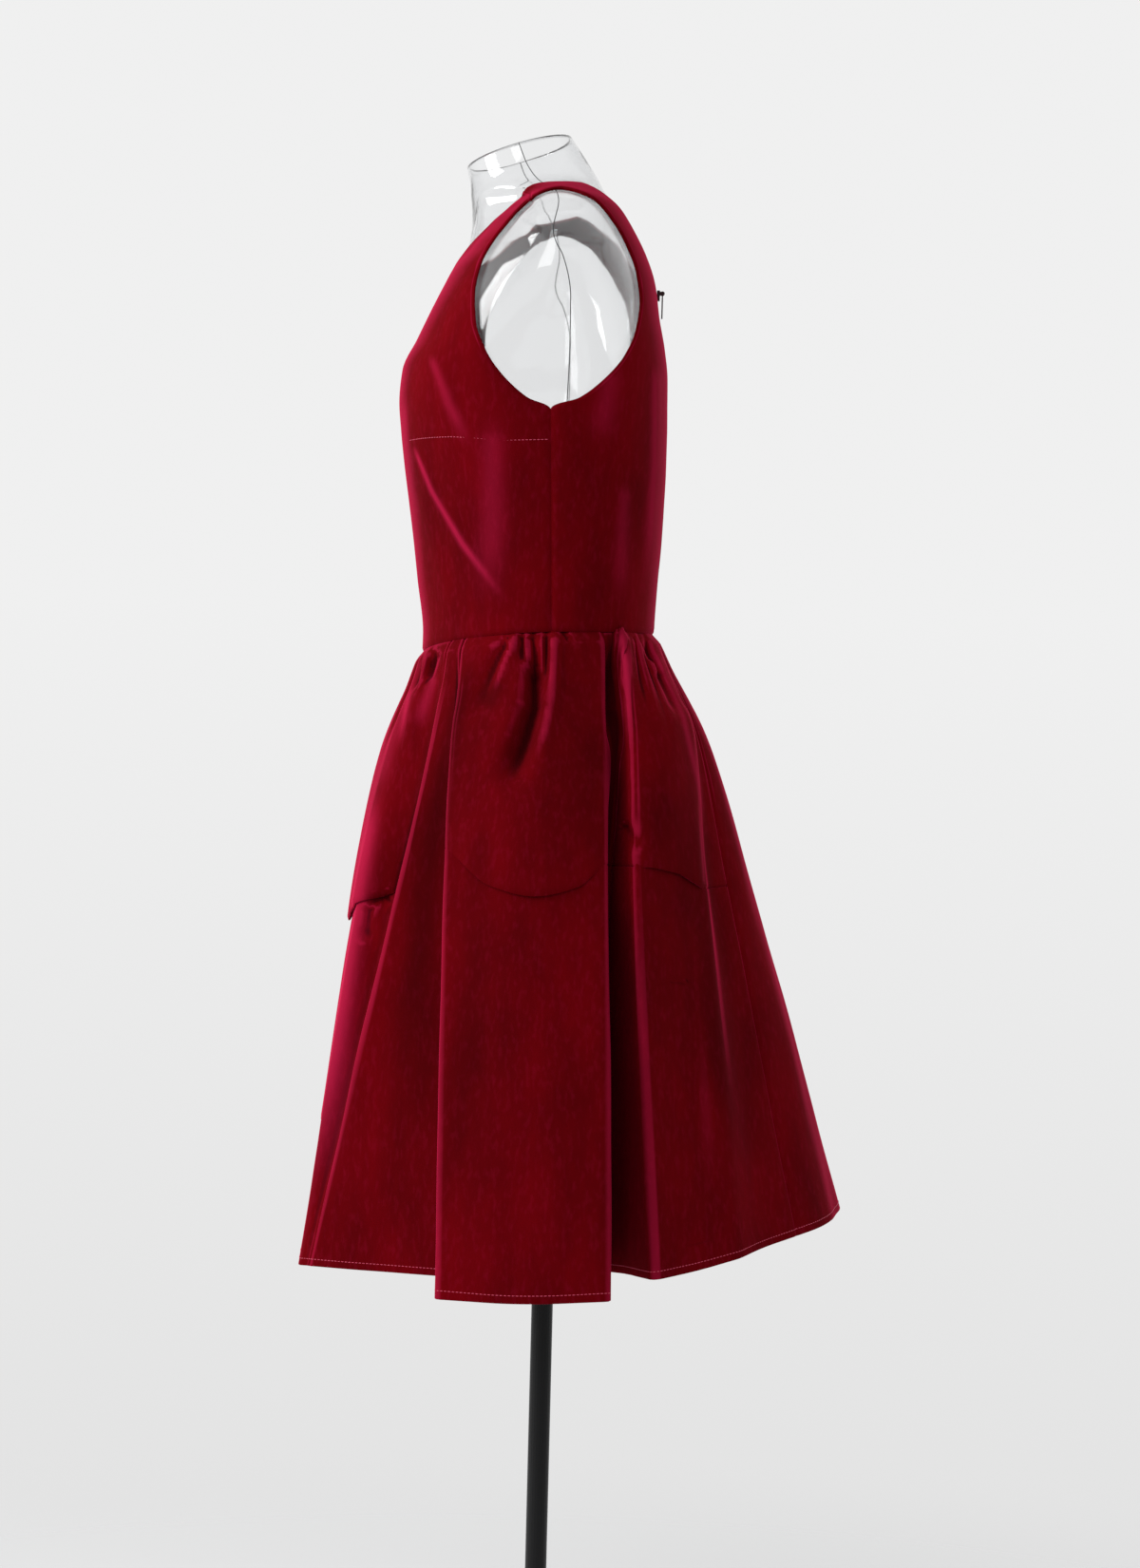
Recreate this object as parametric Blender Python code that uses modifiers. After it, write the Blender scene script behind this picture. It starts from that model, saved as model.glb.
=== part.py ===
"""A knee-length sleeveless velvet dress on a clear limbless dress form with a pole stand.

Metres, +Z up. The pole stands on the Z axis, the underside of the base is at z = 0, the front of the
dress faces -Y and the wearer's left is +X. The tables below are in millimetres or degrees, as named.

The cloth is made of walls. A point of the bodice is found on the body's surface, which is a stack of
rounded sections, and a point of the skirt on a folded line that runs round the wearer and widens
from the waist to the hem.
"""

import math
from collections import namedtuple

import bmesh
import bpy
from mathutils import Vector

MM = 0.001

# Driving sizes
WALL = 2.0 * MM
SEAM_GAP = 0.3 * MM
TOP_DROP = 1.2 * MM
BODY_EASE = 2.3 * MM
SHOULDER_EASE = 1.3 * MM
FORM_WALL = 2.0 * MM
POLE_RADIUS = 9.5 * MM
BASE_RADIUS = 170 * MM
BASE_THICKNESS = 8 * MM
COLLAR_RADIUS = 17 * MM
BASE_COLLAR_HEIGHT = 28 * MM
SOCKET_HEIGHT = 45 * MM
FORM_PLATE_THICKNESS = 6 * MM
ZIP_HALF_WIDTH = 2.6 * MM

# Body sections, from the form's lower edge to the neck's rim: the height of the section's widest
# point, half its width, where its front and back lie, where it is widest, how square its front and
# back halves are (2 is an ellipse), and how far its back is tipped up.
Section = namedtuple("Section", "height half_width front back widest front_power back_power tilt")
BODY = [
    Section(938, 127, -121, 88, -14, 2.2, 2.3, 0),
    Section(980, 124, -118, 85, -14, 2.2, 2.3, 0),
    Section(1030, 121.5, -116, 80, -14, 2.2, 2.4, 0),
    Section(1078, 124, -122, 82, -14, 2.2, 2.4, 0),
    Section(1112, 128.5, -126.5, 84.5, -14, 2.2, 2.4, 0),
    Section(1146, 133, -131.5, 86, -14, 2.3, 2.4, 0),
    Section(1180, 138, -136.5, 87, -14, 2.4, 2.4, 0),
    Section(1210, 143, -140, 87, -13, 2.5, 2.4, 0),
    Section(1235, 147, -142, 86.5, -12, 2.5, 2.4, 0),
    Section(1260, 151, -140, 86, -11, 2.45, 2.4, 0),
    Section(1285, 156, -128.5, 83, -10, 2.35, 2.4, 0),
    Section(1311, 161, -116.5, 78, -9, 2.3, 2.4, 0),
    Section(1340, 165, -103, 74, -8, 2.1, 2.3, 0),
    Section(1362, 165, -93, 67, -8, 1.9, 2.2, 0),
    Section(1382, 159, -87.5, 58, -8, 1.75, 2.1, 0),
    Section(1397, 145, -86, 50, -9, 1.65, 2.0, 1),
    Section(1408, 120, -86.5, 42, -12, 1.65, 2.0, 2),
    Section(1415, 99, -87, 36, -17, 1.75, 2.0, 4),
    Section(1421, 79, -87.5, 31, -24, 1.9, 2.0, 6),
    Section(1428, 66, -88.5, 26, -30, 2.0, 2.0, 9),
    Section(1441, 56, -90, 16, -38, 2.0, 2.0, 14),
    Section(1460, 52, -94, 2.5, -45.7, 2.0, 2.0, 17.6),
]

# Rows of the bodice from the waist up to the shoulder seam. The inner end is on the centre line and
# then on the neckline, the outer end on the side seam and then on the armhole.
Row = namedtuple("Row", "inner_x inner_z outer_y outer_z")
SIDE_SEAM_BOTTOM_Y = -6.0
SIDE_SEAM_TOP_Y = -11.0
FRONT_ROWS = [
    Row(0, 1013.5, SIDE_SEAM_BOTTOM_Y, 1030),
    Row(0, 1050, -7, 1062),
    Row(0, 1095, -8, 1102),
    Row(0, 1140, -9, 1140),
    Row(0, 1185, -10, 1180),
    Row(0, 1222, SIDE_SEAM_TOP_Y, 1217),
    Row(0, 1250, -30, 1226),
    Row(0, 1275, -52, 1245),
    Row(0, 1300, -67, 1267),
    Row(0, 1325, -75.5, 1292),
    Row(0, 1348, -76.5, 1315),
    Row(38, 1354, -71.5, 1342),
    Row(59, 1370, -62.5, 1361),
    Row(70, 1386, -52, 1376),
    Row(76, 1400, -42, 1389),
    Row(79, 1411, -31, 1399.5),
]
BACK_ROWS = [
    Row(0, 1034.6, SIDE_SEAM_BOTTOM_Y, 1030),
    Row(0, 1065, -7, 1062),
    Row(0, 1105, -8, 1102),
    Row(0, 1145, -9, 1140),
    Row(0, 1185, -10, 1180),
    Row(0, 1222, SIDE_SEAM_TOP_Y, 1217),
    Row(0, 1250, 12, 1227),
    Row(0, 1278, 33, 1245),
    Row(0, 1304, 48.5, 1266),
    Row(0, 1330, 57.5, 1288),
    Row(0, 1353, 61, 1314),
    Row(38, 1358, 57.5, 1339),
    Row(58, 1373, 48, 1362),
    Row(69, 1390, 35, 1382),
    Row(76, 1406, 17, 1399.5),
    Row(80, 1418.5, -8, 1407.5),
    Row(79, 1411.5, -31, 1400),
]

# Folds of the left half of the skirt, from the centre front to the centre back. The waist is an angle
# round the body from the front; hip, pocket and hem are where the fold lies across (x) and along (y)
# at those levels; corner is how far along each neighbouring stretch the fold's rounding reaches.
Fold = namedtuple("Fold", "name waist hip_x hip_y pocket_x pocket_y hem_x hem_y hem_z corner")
FOLDS = [
    Fold("centre_front", 0, 0, -154, 0, -175, 0, -216, 479, 40),
    Fold("front_ridge", 24, 72, -142, 88, -166, 92, -211, 479, 22),
    Fold("front_groove", 41, 93, -106, 94, -131, 100, -203, 480, 14),
    Fold("gore_edge", 46, 113, -109, 119, -134, 107, -200, 480.5, 6),
    Fold("gore_valley", 50.5, 127, -82, 134, -75, 160, -66, 481, 14),
    Fold("side_front_edge", 55, 143, -90, 180, -91.5, 262, -86, 477.5, 8),
    Fold("side_middle", 84, 163, -20, 199, -18, 275, -15, 476.5, 60),
    Fold("side_back_edge", 119, 152, 43, 187, 47.5, 265, 55.5, 479.5, 8),
    Fold("deep_valley", 124, 131, 50, 131, 41, 128, 34, 487, 16),
    Fold("return_fold", 129, 143, 58, 160, 57, 190, 72, 492, 12),
    Fold("back_panel_edge", 133, 153, 65, 185, 71, 237, 93, 494, 8),
    Fold("back_middle", 146, 127, 94, 160, 103, 208, 130, 499, 40),
    Fold("back_ridge", 159, 86, 121, 125, 132, 188, 165, 507, 12),
    Fold("back_valley", 165, 66, 117, 98, 132, 152, 187, 512, 14),
    Fold("back_gore_turn", 171, 42, 128, 55, 166, 88, 247, 525, 30),
    Fold("centre_back", 180, 0, 130.5, 0, 170, 0, 264, 531, 30),
]
FOLD_AT = {fold.name: place for place, fold in enumerate(FOLDS)}
WAIST_BLEND = 0.12
HIP_LEVEL = 0.17
POCKET_LEVEL = 0.40

# Gathers below the waist seam: the place between the folds above, how wide and deep the groove is,
# and how far down the skirt it fades out.
Gather = namedtuple("Gather", "place width depth reach")
GATHERS = [
    Gather(0.22, 0.16, 3.5, 0.16),
    Gather(0.62, 0.17, 4.0, 0.20),
    Gather(1.30, 0.26, 4.0, 0.13),
    Gather(5.42, 0.15, 2.5, 0.12),
    Gather(5.70, 0.11, 5.0, 0.22),
    Gather(5.86, 0.10, 6.0, 0.30),
    Gather(6.02, 0.10, 4.5, 0.16),
    Gather(6.40, 0.12, 2.0, 0.09),
    Gather(10.45, 0.20, 3.5, 0.15),
    Gather(10.95, 0.22, 4.0, 0.20),
    Gather(11.45, 0.24, 4.0, 0.17),
    Gather(14.35, 0.30, 3.5, 0.15),
]

# Curved seams under the pocket panels: where each crosses the folds, as a share of the skirt's length.
Crossing = namedtuple("Crossing", "place level")
FRONT_SEAM = [Crossing(0, 0.450), Crossing(1, 0.418), Crossing(2.5, 0.398)]
SIDE_SEAM = [Crossing(4.5, 0.327), Crossing(5, 0.334), Crossing(5.55, 0.388), Crossing(6.1, 0.405),
             Crossing(6.6, 0.392), Crossing(7, 0.362), Crossing(8.5, 0.37)]
BACK_SEAM = [Crossing(8.5, 0.37), Crossing(10, 0.372), Crossing(11, 0.386), Crossing(12, 0.418),
             Crossing(13.5, 0.425)]
POCKET_LIP = 4 * MM
POCKET_OVERLAP = 9 * MM
POCKET_PUFF = 5 * MM
LIP_START = 0.36
LIP_FULL = 0.1

# How far down each row of a gore lies: they are closer at the top, where the skirt curves most.
GORE_ROWS = [0, 0.055, 0.11, 0.17, 0.23, 0.31, 0.4, 0.53, 0.68, 0.84, 1]

# Zip slider and pull
SLIDER_HEIGHT = 1336 * MM
SLIDER_SIZE = Vector((6.4, 2.6, 9.0)) * MM
PULL_BAR_RADIUS = 0.7 * MM
PULL_EYE_RADIUS = 2.0 * MM
PULL_EYE_BORE = 1.15 * MM
PULL_WIDTH = 4.4 * MM
PULL_LENGTH = 19 * MM
PULL_THICKNESS = 1.1 * MM
EAR_THICKNESS = 0.9 * MM
EYE_WIDTH = 3.0 * MM

# Colours (linear) and surface values of the materials
VELVET = ("velvet", (0.17, 0.004, 0.012, 1.0), 0.85, 0.0)
CLEAR = ("clear_plastic", (0.86, 0.87, 0.88, 0.3), 0.06, 0.0)
BLACK = ("black_metal", (0.006, 0.006, 0.007, 1.0), 0.35, 0.6)
ZIP_TAPE = ("zip_tape", (0.09, 0.003, 0.01, 1.0), 0.7, 0.0)
ZIP_METAL = ("zip_metal", (0.05, 0.03, 0.03, 1.0), 0.35, 0.9)


def smooth_step(value):
    """0 below 0, 1 above 1, with a soft start and end between them."""
    value = max(0.0, min(1.0, value))
    return value * value * (3 - 2 * value)


def curve_value(places, values, at):
    """A smooth curve through values at rising places. It never swings past its neighbours."""
    if at <= places[0]:
        return values[0]
    if at >= places[-1]:
        return values[-1]
    k = max(i for i in range(len(places) - 1) if places[i] <= at)
    slopes = [(values[i + 1] - values[i]) / (places[i + 1] - places[i]) for i in range(len(places) - 1)]

    def tangent(i):
        if i in (0, len(places) - 1):
            return slopes[min(i, len(slopes) - 1)]
        before, after = slopes[i - 1], slopes[i]
        return 0.0 if before * after <= 0 else 2 * before * after / (before + after)

    span = places[k + 1] - places[k]
    t = (at - places[k]) / span
    return ((1 + 2 * t) * (1 - t) ** 2 * values[k] + t * (1 - t) ** 2 * span * tangent(k)
            + t * t * (3 - 2 * t) * values[k + 1] + t * t * (t - 1) * span * tangent(k + 1))


def row_value(rows, name, at):
    """One named column of a table at a fractional row."""
    return curve_value(range(len(rows)), [getattr(row, name) for row in rows], at)


# The body

def body_point(level, angle):
    """A point of the body's surface: level is a fractional row of BODY, angle is in degrees from the front."""
    half_width, front, back, widest = (row_value(BODY, name, level)
                                       for name in ("half_width", "front", "back", "widest"))
    turn = math.radians(angle)
    facing_front = math.cos(turn) >= 0
    power = row_value(BODY, "front_power" if facing_front else "back_power", level)
    depth = (front if facing_front else back) - widest
    across = half_width * math.copysign(abs(math.sin(turn)) ** (2 / power), math.sin(turn))
    along = depth * abs(math.cos(turn)) ** (2 / power)
    tilt = math.radians(row_value(BODY, "tilt", level))
    height = row_value(BODY, "height", level) + along * math.sin(tilt)
    return Vector((across, widest + along * math.cos(tilt), height)) * MM


def body_normal(level, angle):
    step_level, step_angle = 0.05, 1.0
    last = len(BODY) - 1
    up = body_point(min(level + step_level, last), angle) - body_point(max(level - step_level, 0), angle)
    around = body_point(level, angle + step_angle) - body_point(level, angle - step_angle)
    return around.cross(up).normalized()


def bisect(function, low, high):
    """Where a rising function crosses zero."""
    for _ in range(40):
        middle = (low + high) / 2
        if function(middle) < 0:
            low = middle
        else:
            high = middle
    return (low + high) / 2


def angle_at(level, along):
    """The angle on the left half whose point lies at that y, in millimetres."""
    return bisect(lambda angle: body_point(level, angle).y / MM - along, 0.0, 180.0)


def level_on_side(along, height):
    """The level whose point at that y, on the left half, has that height."""
    return bisect(lambda level: body_point(level, angle_at(level, along)).z / MM - height, 0, len(BODY) - 4)


def place_on_side(along, height):
    level = level_on_side(along, height)
    return level, angle_at(level, along)


def place_on_centre(across, height, back):
    """The level and angle of a point of the front or back half, given its x and its height."""
    def angle_for(level):
        if across == 0:
            return 180.0 if back else 0.0
        if back:
            return bisect(lambda angle: across - body_point(level, angle).x / MM, 90.0, 180.0)
        return bisect(lambda angle: body_point(level, angle).x / MM - across, 0.0, 90.0)

    level = bisect(lambda level: body_point(level, angle_for(level)).z / MM - height, 0, len(BODY) - 3)
    return level, angle_for(level)


def ease(height):
    """How far the cloth stands off the body: least on the shoulder, where the dress hangs."""
    return SHOULDER_EASE + (BODY_EASE - SHOULDER_EASE) * smooth_step((1410 * MM - height) / (16 * MM))


def bodice_point(level, angle):
    """A point of the middle of the bodice's cloth."""
    point = body_point(level, angle)
    return point + body_normal(level, angle) * (ease(point.z) + WALL / 2)


# The skirt

def fold_at(place):
    """The fold of a whole place. Places below 0 or past the last fold are on the right half."""
    last = len(FOLDS) - 1
    if place < 0:
        return FOLDS[-place], -1
    if place > last:
        return FOLDS[2 * last - place], -1
    return FOLDS[place], 1


def fold_angle(place):
    """The waist angle of a fold. It is negative or over 180 on the right half."""
    fold, side = fold_at(place)
    if side > 0:
        return fold.waist
    return -fold.waist if place < 0 else 360 - fold.waist


def waist_point(angle):
    """The middle of the cloth at the waist seam, along the lower edges of the bodice's panels."""
    around = abs(angle)
    back = around > SIDE_SEAM_BOTTOM[1]
    centre = CENTRE_BACK_WAIST if back else CENTRE_FRONT_WAIST
    share = (around - centre[1]) / (SIDE_SEAM_BOTTOM[1] - centre[1])
    return bodice_point(centre[0] + (SIDE_SEAM_BOTTOM[0] - centre[0]) * share, angle)


SIDE_SEAM_BOTTOM = place_on_side(FRONT_ROWS[0].outer_y, FRONT_ROWS[0].outer_z)
CENTRE_FRONT_WAIST = place_on_centre(0, FRONT_ROWS[0].inner_z, False)
CENTRE_BACK_WAIST = place_on_centre(0, BACK_ROWS[0].inner_z, True)
WAIST_STEP = 3
WAIST_RING = [waist_point(angle) for angle in range(-180, 181, WAIST_STEP)]


def waist_at(angle):
    """The waist ring between its sampled points."""
    place = ((angle + 180) % 360) / WAIST_STEP
    k = min(int(place), len(WAIST_RING) - 2)
    return WAIST_RING[k].lerp(WAIST_RING[k + 1], place - k)


def fold_point(place, level):
    """Where a fold lies at a level of the skirt, from 0 at the waist seam to 1 at the hem."""
    fold, side = fold_at(place)
    waist = waist_at(fold.waist)
    levels = (0, HIP_LEVEL, POCKET_LEVEL, 1)
    across = curve_value(levels, (waist.x / MM, fold.hip_x, fold.pocket_x, fold.hem_x), level)
    along = curve_value(levels, (waist.y / MM, fold.hip_y, fold.pocket_y, fold.hem_y), level)
    height = waist.z / MM - SEAM_GAP / MM
    return Vector((side * across, along, height + (fold.hem_z - height) * level)) * MM


def reaches(place, level):
    """A fold and its neighbours, and which share of the stretch before and after it is rounded."""
    fold = fold_at(place)[0]
    before, here, after = (fold_point(place + step, level) for step in (-1, 0, 1))
    lengths = (before - here).length, (after - here).length
    reach = min(fold.corner * MM, 0.45 * min(lengths))
    return before, here, after, reach, reach / lengths[0], reach / lengths[1]


def folded_line(place, level):
    """A point of the folded line at a fractional place: straight between folds and rounded at each."""
    nearest = math.floor(place + 0.5)
    before, here, after, reach, share_before, share_after = reaches(nearest, level)
    offset = place - nearest
    if offset >= share_after:
        return here.lerp(after, offset)
    if offset <= -share_before:
        return here.lerp(before, -offset)
    to_before, to_after = (before - here).normalized(), (after - here).normalized()
    start, end = here + to_before * reach, here + to_after * reach
    t = (offset + share_before) / (share_before + share_after)
    half = to_before.angle(to_after) / 2
    if half > 1.5:
        return start.lerp(end, t)
    centre = here + (to_before + to_after).normalized() * reach / math.cos(half)
    sweep = math.pi - 2 * half
    arm = (start - centre) * math.sin((1 - t) * sweep) + (end - centre) * math.sin(t * sweep)
    return centre + arm / math.sin(sweep)


def drape_line(place, level):
    """The folded line, drawn onto the waist seam's own curve at the top."""
    line = folded_line(place, level)
    if level >= WAIST_BLEND:
        return line
    low = math.floor(place)
    angles = [fold_angle(low + step) for step in (0, 1)]
    ring = waist_at(angles[0] + (angles[1] - angles[0]) * (place - low))
    shift = ring - folded_line(place, 0)
    shift.z = -TOP_DROP
    return line + shift * (1 - smooth_step(level / WAIST_BLEND))


def gather_depth(place, level):
    """How far the gathers below the waist draw the cloth inwards."""
    last = len(FOLDS) - 1
    place = abs(place)
    place = 2 * last - place if place > last else place
    depth = 0.0
    for gather in GATHERS:
        offset = (place - gather.place) / gather.width
        if abs(offset) < 1 and level < gather.reach:
            rise = smooth_step(level / (0.22 * gather.reach))
            fade = 1 - smooth_step((level / gather.reach - 0.22) / 0.78)
            depth += gather.depth * 0.5 * (1 + math.cos(math.pi * offset)) * rise * fade
    return depth * MM


def skirt_normal(place, level):
    step = 0.02
    around = drape_line(place + step, level) - drape_line(place - step, level)
    down = drape_line(place, min(level + step, 1)) - drape_line(place, max(level - step, 0))
    return down.cross(around).normalized()


def skirt_point(place, level, outward=0.0):
    """A point of the middle of the skirt's cloth, moved outwards by a stated distance."""
    outward -= gather_depth(place, level)
    return drape_line(place, level) + skirt_normal(place, level) * outward


def seam_level(seam, place):
    """The level at which a pocket panel's seam crosses a place."""
    place = abs(place)
    return curve_value([c.place for c in seam], [c.level for c in seam], place)


# Making objects

def material(spec):
    name, colour, roughness, metallic = spec
    made = bpy.data.materials.get(name)
    if made is None:
        made = bpy.data.materials.new(name)
        made.use_nodes = True
        shader = made.node_tree.nodes["Principled BSDF"]
        shader.inputs["Base Color"].default_value = colour
        shader.inputs["Roughness"].default_value = roughness
        shader.inputs["Metallic"].default_value = metallic
        shader.inputs["Alpha"].default_value = colour[3]
    return made


def new_collection(name):
    made = bpy.data.collections.new(name)
    bpy.context.scene.collection.children.link(made)
    return made


def add_object(name, mesh, spec, smooth_angle=35):
    mesh.shade_smooth()
    mesh.set_sharp_from_angle(angle=math.radians(smooth_angle))
    mesh.materials.append(material(spec))
    made = bpy.data.objects.new(name, mesh)
    DRESS.objects.link(made)
    return made


def sheet(name, rows, spec=VELVET, wall=WALL, closed=False, halved=False):
    """A wall of cloth through rows of points: an open surface with a Solidify modifier. A halved one is
    mirrored across the centre plane first."""
    shape = bmesh.new()
    lines = [[shape.verts.new(point) for point in row] for row in rows]
    for upper, lower in zip(lines, lines[1:]):
        for k in range(len(upper) if closed else len(upper) - 1):
            n = (k + 1) % len(upper)
            shape.faces.new((upper[k], upper[n], lower[n], lower[k]))
    mesh = bpy.data.meshes.new(name)
    shape.to_mesh(mesh)
    shape.free()
    made = add_object(name, mesh, spec)
    if halved:
        mirror = made.modifiers.new("other_half", "MIRROR")
        mirror.use_clip = False
        mirror.merge_threshold = 0.00005
    solid = made.modifiers.new("wall", "SOLIDIFY")
    solid.thickness = wall
    solid.offset = 0
    solid.use_even_offset = False
    return made


def mirrored(points):
    return [Vector((-point.x, point.y, point.z)) for point in points]


def turned(name, profile, spec, segments=32):
    """A turned solid about the Z axis, from a profile of (radius, height) that runs top to bottom."""
    mesh = bpy.data.meshes.new(name)
    points = [(radius, 0, height) for radius, height in profile]
    mesh.from_pydata(points, [(k, k + 1) for k in range(len(points) - 1)], [])
    made = add_object(name, mesh, spec)
    screw = made.modifiers.new("turn", "SCREW")
    screw.steps = screw.render_steps = segments
    screw.use_merge_vertices = True
    screw.merge_threshold = 0.00002
    screw.use_smooth_shade = True
    return made


def box_mesh(size, centre):
    shape = bmesh.new()
    bmesh.ops.create_cube(shape, size=1.0)
    bmesh.ops.scale(shape, vec=size, verts=shape.verts)
    bmesh.ops.translate(shape, vec=centre, verts=shape.verts)
    return shape


def cylinder_mesh(radius, length, segments=16):
    """A cylinder along X, centred on the origin."""
    shape = bmesh.new()
    bmesh.ops.create_cone(shape, cap_ends=True, segments=segments, radius1=radius, radius2=radius, depth=length)
    bmesh.ops.rotate(shape, verts=shape.verts, cent=(0, 0, 0),
                     matrix=Vector((0, 0, 1)).rotation_difference(Vector((1, 0, 0))).to_matrix())
    return shape


def shape_object(name, shape, spec, place, collection=None):
    mesh = bpy.data.meshes.new(name)
    shape.to_mesh(mesh)
    shape.free()
    made = add_object(name, mesh, spec, smooth_angle=30)
    made.location = place
    if collection is not None:
        DRESS.objects.unlink(made)
        collection.objects.link(made)
        made.hide_render = True
        made.display_type = "WIRE"
    return made


def boolean(target, tool, operation):
    change = target.modifiers.new(tool.name, "BOOLEAN")
    change.operation = operation
    change.object = tool
    change.solver = "EXACT"


# The dress form and its stand

FORM_SEGMENTS = 30
FORM_LEVELS = [0, 1, 2, 3, 4.5, 6, 7.2, 8, 9, 10, 11, 12, 13, 14, 14.6, 15.3, 16, 17, 18, 19.2, 21]


def form_shell():
    """The clear torso: a thin shell, open at the neck's rim and along its lower edge."""
    rows = [[body_point(level, 360 * k / FORM_SEGMENTS) - body_normal(level, 360 * k / FORM_SEGMENTS) * FORM_WALL / 2
             for k in range(FORM_SEGMENTS)] for level in reversed(FORM_LEVELS)]
    return sheet("form_torso", rows, CLEAR, FORM_WALL, closed=True)


def form_plate():
    """The flat plate that closes the torso's lower edge and takes the pole's socket."""
    outline = [body_point(0, 360 * k / FORM_SEGMENTS) for k in range(FORM_SEGMENTS)]
    curve = bpy.data.curves.new("form_plate", "CURVE")
    curve.dimensions = "2D"
    curve.fill_mode = "BOTH"
    curve.extrude = FORM_PLATE_THICKNESS / 2
    line = curve.splines.new("POLY")
    line.points.add(len(outline) - 1)
    for point, target in zip(outline, line.points):
        target.co = (point.x, point.y, 0, 1)
    line.use_cyclic_u = True
    curve.materials.append(material(BLACK))
    made = bpy.data.objects.new("form_plate", curve)
    made.location.z = BODY[0].height * MM - SEAM_GAP - FORM_PLATE_THICKNESS / 2
    DRESS.objects.link(made)
    return made


def stand():
    plate_bottom = BODY[0].height * MM - SEAM_GAP - FORM_PLATE_THICKNESS
    pole_top = plate_bottom - SEAM_GAP
    pole_bottom = BASE_THICKNESS + SEAM_GAP
    turned("pole", [(0, pole_top), (POLE_RADIUS, pole_top), (POLE_RADIUS, pole_bottom), (0, pole_bottom)], BLACK, 24)
    edge = 2 * MM
    turned("base_plate", [(0, BASE_THICKNESS), (BASE_RADIUS - edge, BASE_THICKNESS),
                          (BASE_RADIUS, BASE_THICKNESS - edge), (BASE_RADIUS, 0), (0, 0)], BLACK, 48)
    bore = POLE_RADIUS + SEAM_GAP
    for name, low, height in (("base_collar", pole_bottom, BASE_COLLAR_HEIGHT),
                              ("form_socket", plate_bottom - SEAM_GAP - SOCKET_HEIGHT, SOCKET_HEIGHT)):
        high = low + height
        turned(name, [(bore, high), (COLLAR_RADIUS, high), (COLLAR_RADIUS, low), (bore, low), (bore, high)], BLACK, 24)


# The bodice

def bodice_rows(table, back, side_shift, centre_shift, across_count):
    """Rows of points of half a bodice panel, from the top row down, each from the centre to the outer edge."""
    rows = []
    for row in table:
        inner_level, inner_angle = place_on_centre(row.inner_x, row.inner_z, back)
        outer_level, outer_angle = place_on_side(row.outer_y, row.outer_z)
        points = []
        for k in range(across_count + 1):
            share = k / across_count
            level = inner_level + (outer_level - inner_level) * share
            angle = inner_angle + (outer_angle - inner_angle) * share
            points.append(bodice_point(level, angle))
        along = (points[-1] - points[-2]).normalized()
        if row.outer_z <= 1217:
            points[-1] = points[-1] - along * side_shift
        if row.inner_x == 0:
            points[0] = Vector((centre_shift, points[0].y, points[0].z))
        rows.append(points)
    return rows[::-1]


def refine(rows, table):
    """Extra rows between those of the table, so that the cloth bends evenly."""
    made = []
    for place in table:
        made.append(Row(*(row_value(rows, name, place) for name in Row._fields)))
    return made


def bodice():
    across = 10
    front_places = [0, 1, 2, 3, 4, 5, 6, 7, 8, 9, 10, 10.25, 11, 12, 13, 14, 15]
    back_places = [0, 1, 2, 3, 4, 5, 6, 7, 8, 9, 10, 10.25, 11, 12, 13, 14, 15, 15.5, 16]
    half = bodice_rows(refine(FRONT_ROWS, front_places), False, SEAM_GAP / 2, 0.0, across)
    seam_row = half[0]
    half[0] = [point + (half[1][k] - point).normalized() * SEAM_GAP for k, point in enumerate(seam_row)]
    sheet("bodice_front", half, halved=True)
    half = bodice_rows(refine(BACK_ROWS, back_places), True, SEAM_GAP / 2, ZIP_HALF_WIDTH + SEAM_GAP, across)
    sheet("bodice_back_left", [row[::-1] for row in half])
    sheet("bodice_back_right", [mirrored(row) for row in half])


# The skirt's panels

def spread(first, last, steps):
    return [first + (last - first) * k / steps for k in range(steps + 1)]


def panel_places(first, last, fine, gathered, edges=()):
    """Places across a panel: round each fold, evenly between folds, and at each gather of an upper piece."""
    places = set()
    for k in range(math.ceil(first), math.floor(last) + 1):
        _, _, _, _, share_before, share_after = reaches(k, 0.6)
        places.update((k - share_before, k, k + share_after))
    for k in range(math.floor(first), math.ceil(last)):
        low, high = k + reaches(k, 0.6)[5], k + 1 - reaches(k + 1, 0.6)[4]
        steps = max(1, round((fold_point(k, 0.6) - fold_point(k + 1, 0.6)).length * (high - low) / fine))
        places.update(spread(low, high, steps))
    if gathered:
        for gather in GATHERS:
            for side in (-1, 1):
                places.update(side * gather.place + step * gather.width for step in (-0.8, 0, 0.8))
    ends = [edge + side * step for edge, side in edges for step in (LIP_START, LIP_FULL, -LIP_FULL)]
    kept = [first]
    for place in sorted(places):
        if first + 0.04 < place < last - 0.04 and place - kept[-1] > 0.05 \
                and all(abs(place - end) > 0.05 for end in ends):
            kept.append(place)
    return sorted(set(kept + ends + [last]))


def shifted(place, level, toward):
    """A panel's end place, moved inwards by half a seam's gap at that level."""
    step = 0.01
    pace = (drape_line(place + step, level) - drape_line(place - step, level)).length / (2 * step)
    return place + toward * 1.0 * SEAM_GAP / max(pace, 2 * MM)


def skirt_rows(places, top, bottom, shares, outward, open_ends):
    """Rows from top to bottom. top and bottom are functions of the place, outward of place and share."""
    rows = []
    for share in shares:
        row = []
        for n, place in enumerate(places):
            level = top(place) + (bottom(place) - top(place)) * share
            at = place
            if n == 0 and open_ends[0]:
                at = shifted(place, level, 1)
            if n == len(places) - 1 and open_ends[1]:
                at = shifted(place, level, -1)
            row.append(skirt_point(at, level, outward(place, share)))
        rows.append(row)
    return rows


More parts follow.
